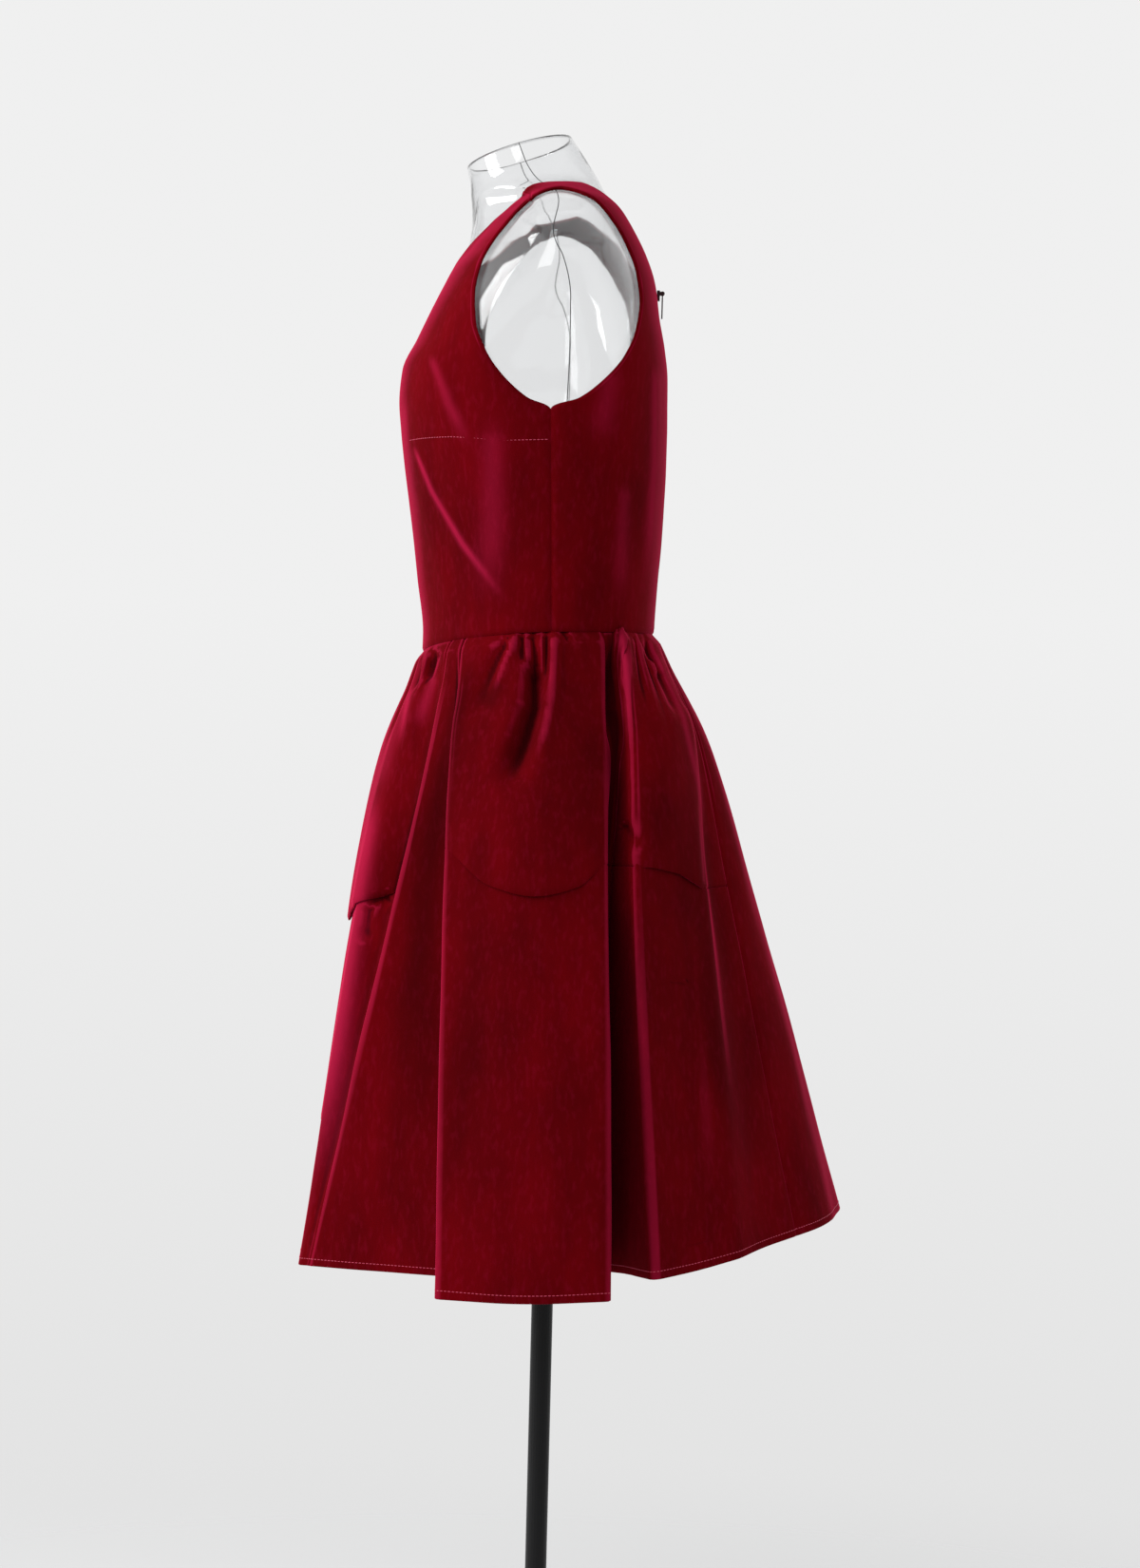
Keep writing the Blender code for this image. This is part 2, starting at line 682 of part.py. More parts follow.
def pocket_panel(name, seam, first, last, edges, mirror, halved=False):
    """A panel in two pieces: an upper one that puffs out over the curved seam, and a lower one to the hem.
    The lip between its edges stands proud, and the lower piece runs up behind it there."""
    length = (fold_point(round(last), 0) - fold_point(round(last), 1)).length

    def inside(place, start, stop):
        nearest = edges[1] - place if halved else min(place - edges[0], edges[1] - place)
        return smooth_step((nearest + start) / (start - stop))

    def lip(place):
        return POCKET_LIP * inside(place, LIP_START, LIP_FULL)

    def overlap(place):
        return POCKET_OVERLAP / length * inside(place, LIP_FULL, -LIP_FULL) - 1.2 * SEAM_GAP / length

    def puff(place):
        share = smooth_step((place - edges[0]) / (edges[1] - edges[0]) * 0.5 + 0.5) if halved else \
            max(0, min(1, (place - edges[0]) / (edges[1] - edges[0])))
        return POCKET_PUFF * math.sin(math.pi * share)

    def upper_out(place, share):
        return lip(place) * smooth_step((share - 0.5) / 0.5) + puff(place) * math.sin(math.pi * share)

    def finish(rows):
        if halved:
            rows = [[Vector((0, row[0].y, row[0].z))] + row[1:] for row in rows]
        return [mirrored(row)[::-1] for row in rows] if mirror else rows

    ends = (not halved, True)
    sides = ((edges[1], 1),) if halved else ((edges[0], -1), (edges[1], 1))
    upper = skirt_rows(panel_places(first, last, 26 * MM, True, sides), lambda place: 0.0,
                       lambda place: seam_level(seam, place), spread(0, 1, 7), upper_out, ends)
    sheet(name + "_upper", finish(upper), halved=halved)
    lower = skirt_rows(panel_places(first, last, 34 * MM, False, sides),
                       lambda place: seam_level(seam, place) - overlap(place),
                       lambda place: 1.0, spread(0, 1, 6), lambda place, share: 0.0, ends)
    sheet(name + "_lower", finish(lower), halved=halved)


def plain_panel(name, first, last, mirror):
    """A gore in one piece, from the waist to the hem."""
    rows = skirt_rows(panel_places(first, last, 34 * MM, True), lambda place: 0.0, lambda place: 1.0, GORE_ROWS,
                      lambda place, share: 0.0, (True, True))
    sheet(name, [mirrored(row)[::-1] for row in rows] if mirror else rows)


def skirt():
    """Every seam lies half-way between two folds, where the cloth runs straight."""
    front_seam, gore_seam, deep_seam, back_seam = (
        FOLD_AT[name] + 0.5 for name in ("front_groove", "gore_valley", "deep_valley", "back_valley"))
    pocket_panel("skirt_front", FRONT_SEAM, 0, front_seam, (0, FOLD_AT["front_groove"] - 0.3), False, halved=True)
    for side, mirror in (("left", False), ("right", True)):
        plain_panel("skirt_gore_" + side, front_seam, gore_seam, mirror)
        edges = FOLD_AT["side_front_edge"], FOLD_AT["side_back_edge"]
        pocket_panel("skirt_side_" + side, SIDE_SEAM, gore_seam, deep_seam, edges, mirror)
        edges = FOLD_AT["back_panel_edge"], FOLD_AT["back_ridge"]
        pocket_panel("skirt_back_" + side, BACK_SEAM, deep_seam, back_seam, edges, mirror)
        plain_panel("skirt_centre_back_" + side, back_seam, FOLD_AT["centre_back"], mirror)


# The zip

def zip_chain():
    """The closed zip between the two halves of the back, from the neckline to the waist."""
    rows = []
    for k in range(17):
        height = 1352 - (1352 - 1036) * k / 16
        level, angle = place_on_centre(0, height, True)
        middle = bodice_point(level, angle)
        rows.append([Vector((side * ZIP_HALF_WIDTH, middle.y, middle.z)) for side in (1, 0, -1)])
    sheet("zip_chain", rows, ZIP_TAPE, 1.6 * MM)


def slider_and_pull():
    """The slider on the chain, and the pull tab that hangs from its bar and turns about it."""
    level, angle = place_on_centre(0, SLIDER_HEIGHT / MM, True)
    cloth = bodice_point(level, angle)
    body_centre_y = cloth.y + 0.8 * MM + 2 * SEAM_GAP + SLIDER_SIZE.y / 2 + 0.3 * MM
    bar_y = body_centre_y + SLIDER_SIZE.y / 2 + PULL_EYE_RADIUS + SEAM_GAP
    bar = Vector((0, bar_y, SLIDER_HEIGHT + 2.0 * MM))
    body = shape_object("zip_slider", box_mesh(SLIDER_SIZE, Vector((0, 0, 0))), ZIP_METAL,
                        Vector((0, body_centre_y, SLIDER_HEIGHT)))
    ear_depth = bar_y - body_centre_y - SLIDER_SIZE.y / 2 + 1.3 * MM
    for side in (-1, 1):
        ear = shape_object(f"ear_{side}", box_mesh(Vector((EAR_THICKNESS, ear_depth, 3.0 * MM)), Vector((0, 0, 0))),
                           ZIP_METAL, Vector((side * (EYE_WIDTH / 2 + SEAM_GAP + EAR_THICKNESS / 2),
                                              bar_y + 1.0 * MM - ear_depth / 2, bar.z)), CUTTERS)
        boolean(body, ear, "UNION")
    rod = shape_object("bar", cylinder_mesh(PULL_BAR_RADIUS, EYE_WIDTH + 2 * EAR_THICKNESS), ZIP_METAL, bar, CUTTERS)
    boolean(body, rod, "UNION")

    pull = shape_object("zip_pull", cylinder_mesh(PULL_EYE_RADIUS, EYE_WIDTH), ZIP_METAL, bar)
    plate = shape_object("pull_plate", box_mesh(Vector((PULL_WIDTH, PULL_THICKNESS, PULL_LENGTH)),
                                                Vector((0, 0, -PULL_LENGTH / 2 - 3.3 * MM))), ZIP_METAL, bar, CUTTERS)
    neck = shape_object("pull_neck", box_mesh(Vector((EYE_WIDTH * 0.8, PULL_THICKNESS * 0.9, 4 * MM)),
                                              Vector((0, 0, -2.6 * MM))), ZIP_METAL, bar, CUTTERS)
    bore = shape_object("pull_bore", cylinder_mesh(PULL_EYE_BORE, EYE_WIDTH * 2), ZIP_METAL, bar, CUTTERS)
    boolean(pull, neck, "UNION")
    boolean(pull, plate, "UNION")
    boolean(pull, bore, "DIFFERENCE")


for old in list(bpy.data.objects):
    bpy.data.objects.remove(old)
DRESS = new_collection("velvet_dress_on_form")
CUTTERS = new_collection("cutters")

form_shell()
form_plate()
stand()
bodice()
skirt()
zip_chain()
slider_and_pull()
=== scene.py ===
"""The looks of the red velvet dress on its clear dress form.

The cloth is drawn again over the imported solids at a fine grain, from the same tables of body sections,
bodice rows and skirt folds as the part's source, and then gets its tucks, creases, seams and stitches.
"""

import math
from collections import namedtuple

import bmesh
import bpy
import numpy as np
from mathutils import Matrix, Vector


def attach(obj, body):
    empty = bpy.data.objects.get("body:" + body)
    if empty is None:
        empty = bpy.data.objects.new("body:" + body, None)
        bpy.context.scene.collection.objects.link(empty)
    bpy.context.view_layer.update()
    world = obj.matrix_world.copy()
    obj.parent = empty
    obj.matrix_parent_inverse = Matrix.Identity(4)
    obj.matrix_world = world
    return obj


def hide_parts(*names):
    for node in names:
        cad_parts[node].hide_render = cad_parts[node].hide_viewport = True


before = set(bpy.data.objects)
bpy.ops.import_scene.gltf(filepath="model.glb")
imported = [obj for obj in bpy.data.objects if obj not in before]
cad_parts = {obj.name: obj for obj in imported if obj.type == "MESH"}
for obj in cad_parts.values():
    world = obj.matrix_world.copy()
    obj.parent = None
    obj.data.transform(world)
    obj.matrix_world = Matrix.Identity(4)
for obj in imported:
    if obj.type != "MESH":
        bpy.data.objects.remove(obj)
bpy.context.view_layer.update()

MM = 0.001
STAND = "dress_and_stand"
PULL = "zip_pull"

# Driving sizes, as in the part's source
WALL = 2.0 * MM
SEAM_GAP = 0.3 * MM
TOP_DROP = 1.2 * MM
BODY_EASE = 2.3 * MM
SHOULDER_EASE = 1.3 * MM
FORM_WALL = 2.0 * MM
ZIP_HALF_WIDTH = 2.6 * MM
SLIDER_HEIGHT = 1336 * MM

# Grain of the drawn cloth, and how far it turns in at its seams
SKIRT_GRID = 3.1 * MM
BODICE_GRID = 2.3 * MM
SEAM_ROLL = 1.3 * MM
SEAM_ROLL_WIDTH = 3.2 * MM
BODICE_LENGTH = 400 * MM
BODICE_HALF_WIDTH = 165 * MM
SKIRT_LENGTH = 560 * MM
TUCK_RISE = 3.5 * MM
TUCK_IN = 2.0 * MM

# Gathered cloth just under the waist seam
PUFF = 2.6 * MM
PUFF_REACH = 0.075
RUCK = 0.8 * MM
RUCK_SIZE = 20 * MM

# A fold bent this sharply, in 1/m, shows its full painted highlight along the edge; bent the other way, its full
# painted shade
RIDGE_BEND = 150

# How far a crease may go in before it would meet the form
WAIST_Z = 1030 * MM
WAIST_ROOM = 1.0 * MM
ROOM_SLOPE = 0.4

# The painted highlights and painted shade of the listed paths are laid out for the side view, so they fade towards
# the centre of the front and back
PAINTED_LIGHT_START = 30 * MM
PAINTED_LIGHT_FADE = 45 * MM

# Stitches
STITCH_LENGTH = 2.4 * MM
STITCH_GAP = 0.9 * MM
STITCH_RADIUS = 0.32 * MM
HEM_DEPTH = 7 * MM
MOULD_LINE_RADIUS = 0.4 * MM
CENTRE_BACK_Z = 1040 * MM
COIL_PITCH = 1.5 * MM

# Body sections: height, half width, front, back, where widest, how square in front and behind, tilt
Section = namedtuple("Section", "height half_width front back widest front_power back_power tilt")
BODY = [
    Section(938, 127, -121, 88, -14, 2.2, 2.3, 0),
    Section(980, 124, -118, 85, -14, 2.2, 2.3, 0),
    Section(1030, 121.5, -116, 80, -14, 2.2, 2.4, 0),
    Section(1078, 124, -122, 82, -14, 2.2, 2.4, 0),
    Section(1112, 128.5, -126.5, 84.5, -14, 2.2, 2.4, 0),
    Section(1146, 133, -131.5, 86, -14, 2.3, 2.4, 0),
    Section(1180, 138, -136.5, 87, -14, 2.4, 2.4, 0),
    Section(1210, 143, -140, 87, -13, 2.5, 2.4, 0),
    Section(1235, 147, -142, 86.5, -12, 2.5, 2.4, 0),
    Section(1260, 151, -140, 86, -11, 2.45, 2.4, 0),
    Section(1285, 156, -128.5, 83, -10, 2.35, 2.4, 0),
    Section(1311, 161, -116.5, 78, -9, 2.3, 2.4, 0),
    Section(1340, 165, -103, 74, -8, 2.1, 2.3, 0),
    Section(1362, 165, -93, 67, -8, 1.9, 2.2, 0),
    Section(1382, 159, -87.5, 58, -8, 1.75, 2.1, 0),
    Section(1397, 145, -86, 50, -9, 1.65, 2.0, 1),
    Section(1408, 120, -86.5, 42, -12, 1.65, 2.0, 2),
    Section(1415, 99, -87, 36, -17, 1.75, 2.0, 4),
    Section(1421, 79, -87.5, 31, -24, 1.9, 2.0, 6),
    Section(1428, 66, -88.5, 26, -30, 2.0, 2.0, 9),
    Section(1441, 56, -90, 16, -38, 2.0, 2.0, 14),
    Section(1460, 52, -94, 2.5, -45.7, 2.0, 2.0, 17.6),
]

# How far the front of each upper section moves back beside the neck: level and millimetres
SHOULDER_BACK = ((0, 0), (12, 0), (13, 4), (14, 12), (15, 20), (16, 25), (17, 24), (18, 12), (19, 0), (21, 0))

# Rows of the bodice, from the waist up to the shoulder seam
Row = namedtuple("Row", "inner_x inner_z outer_y outer_z")
SIDE_SEAM_BOTTOM_Y = -6.0
SIDE_SEAM_TOP_Y = -11.0
FRONT_ROWS = [
    Row(0, 1013.5, SIDE_SEAM_BOTTOM_Y, 1030),
    Row(0, 1050, -7, 1062),
    Row(0, 1095, -8, 1102),
    Row(0, 1140, -9, 1140),
    Row(0, 1185, -10, 1180),
    Row(0, 1222, SIDE_SEAM_TOP_Y, 1217),
    Row(0, 1250, -30, 1226),
    Row(0, 1275, -52, 1245),
    Row(0, 1300, -67, 1267),
    Row(0, 1325, -75.5, 1292),
    Row(0, 1348, -76.5, 1315),
    Row(38, 1354, -71.5, 1342),
    Row(59, 1370, -62.5, 1361),
    Row(70, 1386, -52, 1376),
    Row(76, 1402, -42, 1389),
    Row(79, 1413.5, -31, 1399.5),
]
BACK_ROWS = [
    Row(0, 1034.6, SIDE_SEAM_BOTTOM_Y, 1030),
    Row(0, 1065, -7, 1062),
    Row(0, 1105, -8, 1102),
    Row(0, 1145, -9, 1140),
    Row(0, 1185, -10, 1180),
    Row(0, 1222, SIDE_SEAM_TOP_Y, 1217),
    Row(0, 1250, 12, 1227),
    Row(0, 1278, 33, 1245),
    Row(0, 1304, 48.5, 1266),
    Row(0, 1330, 57.5, 1288),
    Row(0, 1353, 61, 1314),
    Row(38, 1358, 57.5, 1339),
    Row(58, 1373, 48, 1362),
    Row(69, 1390, 35, 1382),
    Row(76, 1406, 17, 1399.5),
    Row(80, 1418.5, -8, 1407.5),
    Row(79, 1416, -31, 1400),
]

# Folds of the left half of the skirt, from the centre front to the centre back
Fold = namedtuple("Fold", "name waist hip_x hip_y pocket_x pocket_y hem_x hem_y hem_z corner")
FOLDS = [
    Fold("centre_front", 0, 0, -154, 0, -175, 0, -216, 479, 40),
    Fold("front_ridge", 24, 72, -142, 88, -166, 92, -211, 479, 22),
    Fold("front_groove", 41, 93, -106, 94, -131, 100, -203, 480, 14),
    Fold("gore_edge", 46, 113, -109, 119, -134, 107, -200, 480.5, 5),
    Fold("gore_valley", 50.5, 127, -82, 134, -75, 160, -66, 481, 14),
    Fold("side_front_edge", 55, 143, -90, 180, -91.5, 262, -86, 477.5, 4.5),
    Fold("side_middle", 84, 163, -20, 199, -18, 275, -15, 476.5, 60),
    Fold("side_back_edge", 119, 152, 43, 187, 47.5, 265, 55.5, 479.5, 4),
    Fold("deep_valley", 124, 131, 50, 131, 41, 128, 34, 487, 16),
    Fold("return_fold", 129, 143, 58, 160, 57, 190, 72, 492, 8),
    Fold("back_panel_edge", 133, 153, 65, 185, 71, 237, 93, 494, 5),
    Fold("back_middle", 146, 127, 94, 160, 103, 208, 130, 499, 40),
    Fold("back_ridge", 159, 86, 121, 125, 132, 188, 165, 507, 7),
    Fold("back_valley", 165, 66, 117, 98, 132, 152, 187, 512, 14),
    Fold("back_gore_turn", 171, 42, 128, 55, 166, 88, 247, 525, 30),
    Fold("centre_back", 180, 0, 130.5, 0, 170, 0, 264, 531, 30),
]
FOLD_AT = {fold.name: place for place, fold in enumerate(FOLDS)}
LAST_FOLD = len(FOLDS) - 1
WAIST_BLEND = 0.12
HIP_LEVEL = 0.17
POCKET_LEVEL = 0.40

# Gathers below the waist seam
Gather = namedtuple("Gather", "place width depth reach")
GATHERS = [
    Gather(0.22, 0.16, 3.5, 0.16),
    Gather(0.62, 0.17, 4.0, 0.20),
    Gather(1.30, 0.26, 4.0, 0.13),
    Gather(10.45, 0.20, 3.5, 0.15),
    Gather(10.95, 0.22, 4.0, 0.20),
    Gather(11.45, 0.24, 4.0, 0.17),
    Gather(14.35, 0.30, 3.5, 0.15),
]

# Curved seams under the pocket panels
Crossing = namedtuple("Crossing", "place level")
FRONT_SEAM = [Crossing(0, 0.450), Crossing(1, 0.418), Crossing(2.5, 0.398)]
SIDE_SEAM = [Crossing(4.5, 0.327), Crossing(5, 0.334), Crossing(5.55, 0.388), Crossing(6.1, 0.405),
             Crossing(6.6, 0.392), Crossing(7, 0.362), Crossing(8.5, 0.37)]
BACK_SEAM = [Crossing(8.5, 0.37), Crossing(10, 0.372), Crossing(11, 0.386), Crossing(12, 0.418),
             Crossing(13.5, 0.425)]
POCKET_LIP = 4 * MM
POCKET_OVERLAP = 9 * MM
POCKET_PUFF = 5 * MM
LIP_START = 0.36
LIP_FULL = 0.1

# Creases seen from the side, pressed in (minus) or raised (plus) along a path of (y, z) in millimetres,
# with the depth, and the half width at the path's start and end.
Crease = namedtuple("Crease", "depth start_width end_width path")
SIDE_CREASES = [
    Crease(-5, 4, 15, ((-43, 1020), (-57, 993), (-74, 949))),
    Crease(2.5, 4, 7, ((-36, 1024), (-46, 1000), (-58, 965))),
    Crease(-4, 2.5, 4, ((-31, 1026), (-30, 1000))),
    Crease(-6, 3, 6, ((-22, 1028), (-19, 1008), (-18, 985))),
    Crease(-5, 2.2, 3.2, ((-9, 1028), (-9, 1004), (-12, 975))),
    Crease(-13, 6, 14, ((-20, 1000), (-19, 966), (-27, 936), (-44, 888))),
    Crease(4, 5, 9, ((-3, 1024), (-4, 980), (-9, 948), (-20, 915))),
    Crease(-2.5, 2.5, 3, ((3, 1030), (10, 1021))),
    Crease(-14, 3.5, 5, ((43, 1036), (46, 1002), (48, 969), (53, 921))),
    Crease(6, 4, 6, ((50, 1036), (58, 1004), (61, 972))),
    Crease(-6, 3, 5, ((-117, 1010), (-127, 975))),
    Crease(-5, 3, 6, ((-104, 1012), (-115, 980))),
    Crease(3, 3, 8, ((-111, 1010), (-124, 960), (-131, 920))),
    Crease(-6, 3, 5, ((71, 1031), (84, 1004))),
    Crease(-4, 5, 12, ((88, 1000), (108, 960))),
    Crease(-3, 4, 6, ((-140, 800), (-162, 792))),
    Crease(-4, 4, 8, ((-158, 790), (-161, 757))),
    Crease(-2.5, 5, 8, ((58, 868), (75, 846))),
]
BODICE_CREASES = [
    Crease(1.3, 6, 9, ((-128, 1190), (-112, 1150), (-82, 1102), (-42, 1052))),
    Crease(-0.9, 6, 10, ((-118, 1180), (-98, 1135), (-70, 1095))),
    Crease(1.0, 6, 7, ((-112, 1265), (-96, 1225), (-76, 1182))),
    Crease(0.9, 5, 7, ((-122, 1150), (-104, 1090), (-92, 1040))),
    Crease(1.2, 4, 6, ((78, 1262), (80, 1180), (75, 1060))),
    Crease(0.9, 5, 8, ((52, 1155), (50, 1056))),
]
# Painted light on the velvet: plus paints a pink highlight or sheen streak, minus paints shade; the crease's depth is
# here the strength of the painted light
BODICE_PAINTED_LIGHT = [
    Crease(1.0, 1.5, 3, ((-128, 1187), (-112, 1150), (-84, 1104), (-46, 1056))),
    Crease(0.6, 3, 5, ((-139, 1230), (-137, 1185), (-130, 1140), (-124, 1085), (-116, 1030))),
    Crease(0.45, 3, 5, ((-114, 1262), (-98, 1222), (-78, 1184))),
    Crease(0.35, 9, 12, ((-60, 1200), (-58, 1120), (-62, 1050))),
    Crease(0.6, 3, 5, ((77, 1262), (79, 1180), (75, 1062))),
    Crease(0.3, 4, 7, ((53, 1155), (51, 1056))),
    Crease(0.3, 8, 10, ((40, 1250), (30, 1190))),
]
# Painted highlights (plus) and painted shade (minus) on the skirt's velvet, in the same way
SKIRT_PAINTED_LIGHT = [
    Crease(0.8, 2, 2.5, ((-119, 1006), (-128, 979), (-136, 927))),
    Crease(0.5, 3, 6, ((-106, 990), (-121, 944))),
    Crease(0.5, 2, 3, ((54, 1030), (60, 985), (64, 930))),
    Crease(0.6, 2, 3, ((80, 1024), (108, 962), (124, 900), (131, 850))),
    Crease(0.4, 5, 9, ((118, 790), (128, 700), (140, 560))),
    Crease(0.9, 7, 16, ((-157, 880), (-172, 780), (-186, 660), (-203, 540))),
    Crease(0.5, 5, 8, ((-128, 985), (-146, 930), (-156, 880))),
    Crease(-0.6, 8, 22, ((-76, 1000), (-96, 900), (-112, 760), (-128, 560))),
    Crease(-0.45, 20, 40, ((95, 900), (130, 760), (170, 560))),
    Crease(-0.5, 8, 14, ((60, 800), (72, 660), (84, 520))),
    Crease(-0.5, 6, 10, ((-48, 985), (-62, 960))),
    Crease(-0.8, 5, 10, ((-20, 1005), (-18, 966), (-26, 936), (-41, 896))),
    Crease(-0.6, 2, 3, ((-9, 1026), (-9, 1004), (-11, 980))),
    Crease(-0.6, 2, 3, ((-31, 1026), (-30, 1002))),
    Crease(-0.9, 3, 4, ((43, 1032), (46, 1002), (48, 969), (53, 921), (57, 820))),
    Crease(0.25, 2, 3, ((50, 1030), (59, 1002), (63, 960))),
    Crease(-0.35, 14, 30, ((-60, 860), (-62, 720), (-66, 520))),
    Crease(-0.3, 25, 30, ((20, 990), (25, 870))),
]
DART = ((-11.5, 1192.5), (-51, 1191), (-93, 1195), (-132, 1196))

# The form's mould line: body level and angle
MOULD_LINE = ((0, 96), (8, 96), (11, 95.6), (12.2, 92), (13.3, 86), (15, 90), (21, 90))


# Arrays and curves

def smooth_step(value):
    value = np.clip(value, 0, 1)
    return value * value * (3 - 2 * value)


def unit(vectors):
    return vectors / np.maximum(np.linalg.norm(vectors, axis=-1, keepdims=True), 1e-12)


def curve_value(knots, values, at):
    """A smooth curve that never swings past its knots. values has one value a knot in its last axis."""
    knots, values, at = np.asarray(knots, float), np.asarray(values, float), np.asarray(at, float)
    slopes = np.diff(values, axis=-1) / np.diff(knots)
    product, total = slopes[..., :-1] * slopes[..., 1:], slopes[..., :-1] + slopes[..., 1:]
    inner = np.where(product > 0, 2 * product / np.where(total == 0, 1, total), 0)
    tangents = np.concatenate([slopes[..., :1], inner, slopes[..., -1:]], axis=-1)
    k = np.clip(np.searchsorted(knots, at, side="right") - 1, 0, len(knots) - 2)

    def pick(table, index):
        if table.ndim == 1:
            return table[index]
        return np.take_along_axis(table, index[..., None], -1)[..., 0]

    span = knots[k + 1] - knots[k]
    t = np.clip((at - knots[k]) / span, 0, 1)
    return ((1 + 2 * t) * (1 - t) ** 2 * pick(values, k) + t * (1 - t) ** 2 * span * pick(tangents, k)
            + t * t * (3 - 2 * t) * pick(values, k + 1) + t * t * (t - 1) * span * pick(tangents, k + 1))


def row_value(rows, name, at):
    return curve_value(np.arange(len(rows)), [getattr(row, name) for row in rows], at)


def root(function, low, high, steps=36):
    """Where a rising function of an array crosses zero."""
    for _ in range(steps):
        middle = (low + high) / 2
        below = function(middle) < 0
        low, high = np.where(below, middle, low), np.where(below, high, middle)
    return (low + high) / 2


# The body

def body_point(level, angle):
    level, angle = np.broadcast_arrays(np.asarray(level, float), np.asarray(angle, float))
    half_width, front, back, widest, height, tilt, front_power, back_power = (
        row_value(BODY, name, level)
        for name in ("half_width", "front", "back", "widest", "height", "tilt", "front_power", "back_power"))
    turn = np.radians(angle)
    facing_front = np.cos(turn) >= 0
    power = np.where(facing_front, front_power, back_power)
    depth = np.where(facing_front, front, back) - widest
    across = half_width * np.sign(np.sin(turn)) * np.abs(np.sin(turn)) ** (2 / power)
    along = depth * np.abs(np.cos(turn)) ** (2 / power)
    tilt = np.radians(tilt)
    back_shift = curve_value([row[0] for row in SHOULDER_BACK], [row[1] for row in SHOULDER_BACK], level)
    back_shift = back_shift * smooth_step((np.abs(across) - 32) / 44) * smooth_step(-along / 60)
    return np.stack([across, widest + along * np.cos(tilt) + back_shift, height + along * np.sin(tilt)], -1) * MM


def body_normal(level, angle):
    last = len(BODY) - 1
    up = body_point(np.minimum(level + 0.05, last), angle) - body_point(np.maximum(level - 0.05, 0), angle)
    around = body_point(level, angle + 1.0) - body_point(level, angle - 1.0)
    return unit(np.cross(around, up))


def angle_at(level, along):
    zero = np.zeros_like(level)
    return root(lambda angle: body_point(level, angle)[..., 1] / MM - along, zero, zero + 180)


def place_on_side(along, height):
    low = np.zeros_like(np.asarray(along, float))
    level = root(lambda level: body_point(level, angle_at(level, along))[..., 2] / MM - height,
                 low, low + len(BODY) - 4)
    return level, angle_at(level, along)


def place_on_centre(across, height, back):
    across = np.asarray(across, float)
    zero = np.zeros_like(across)

    def angle_for(level):
        if back:
            found = root(lambda angle: across - body_point(level, angle)[..., 0] / MM, zero + 90, zero + 180)
            return np.where(across == 0, 180.0, found)
        found = root(lambda angle: body_point(level, angle)[..., 0] / MM - across, zero, zero + 90)
        return np.where(across == 0, 0.0, found)

    level = root(lambda level: body_point(level, angle_for(level))[..., 2] / MM - height,
                 zero, zero + len(BODY) - 3)
    return level, angle_for(level)


def ease(height):
    return SHOULDER_EASE + (BODY_EASE - SHOULDER_EASE) * smooth_step((1410 * MM - height) / (16 * MM))


def bodice_point(level, angle):
    point = body_point(level, angle)
    return point + body_normal(level, angle) * (ease(point[..., 2:]) + WALL / 2)


# The skirt

SIDE_SEAM_BOTTOM = place_on_side(SIDE_SEAM_BOTTOM_Y, FRONT_ROWS[0].outer_z)
CENTRE_FRONT_WAIST = place_on_centre(0.0, FRONT_ROWS[0].inner_z, False)
CENTRE_BACK_WAIST = place_on_centre(0.0, BACK_ROWS[0].inner_z, True)


def waist_point(angle):
    around = np.abs(angle)
    back = around > SIDE_SEAM_BOTTOM[1]
    start_level = np.where(back, CENTRE_BACK_WAIST[0], CENTRE_FRONT_WAIST[0])
    start_angle = np.where(back, CENTRE_BACK_WAIST[1], CENTRE_FRONT_WAIST[1])
    share = (around - start_angle) / (SIDE_SEAM_BOTTOM[1] - start_angle)
    return bodice_point(start_level + (SIDE_SEAM_BOTTOM[0] - start_level) * share, angle)


WAIST_STEP = 3
WAIST_RING = waist_point(np.arange(-180, 181, WAIST_STEP, dtype=float))
FOLD_WAISTS = np.array([fold.waist for fold in FOLDS], float)
FOLD_ACROSS = np.array([(fold.hip_x, fold.pocket_x, fold.hem_x) for fold in FOLDS]) * MM
FOLD_ALONG = np.array([(fold.hip_y, fold.pocket_y, fold.hem_y) for fold in FOLDS]) * MM
FOLD_HEMS = np.array([fold.hem_z for fold in FOLDS]) * MM
FOLD_CORNERS = np.array([fold.corner for fold in FOLDS]) * MM


def waist_at(angle):
    place = ((angle + 180) % 360) / WAIST_STEP
    k = np.minimum(place.astype(int), len(WAIST_RING) - 2)
    t = (place - k)[..., None]
    return WAIST_RING[k] * (1 - t) + WAIST_RING[k + 1] * t


def fold_index(place):
    """The row of FOLDS of a whole place, and -1 where it is on the right half."""
    index = np.abs(place)
    index = np.where(index > LAST_FOLD, 2 * LAST_FOLD - index, index)
    return index, np.where((place < 0) | (place > LAST_FOLD), -1.0, 1.0)


def fold_angle(place):
    index, side = fold_index(place)
    waist = FOLD_WAISTS[index]
    return np.where(side > 0, waist, np.where(place < 0, -waist, 360 - waist))


def fold_point(place, level):
    index, side = fold_index(place)
    waist = waist_at(FOLD_WAISTS[index])
    levels = (0, HIP_LEVEL, POCKET_LEVEL, 1)
    across = curve_value(levels, np.concatenate([waist[..., :1], FOLD_ACROSS[index]], -1), level)
    along = curve_value(levels, np.concatenate([waist[..., 1:2], FOLD_ALONG[index]], -1), level)
    height = waist[..., 2] - SEAM_GAP
    return np.stack([side * across, along, height + (FOLD_HEMS[index] - height) * level], -1)


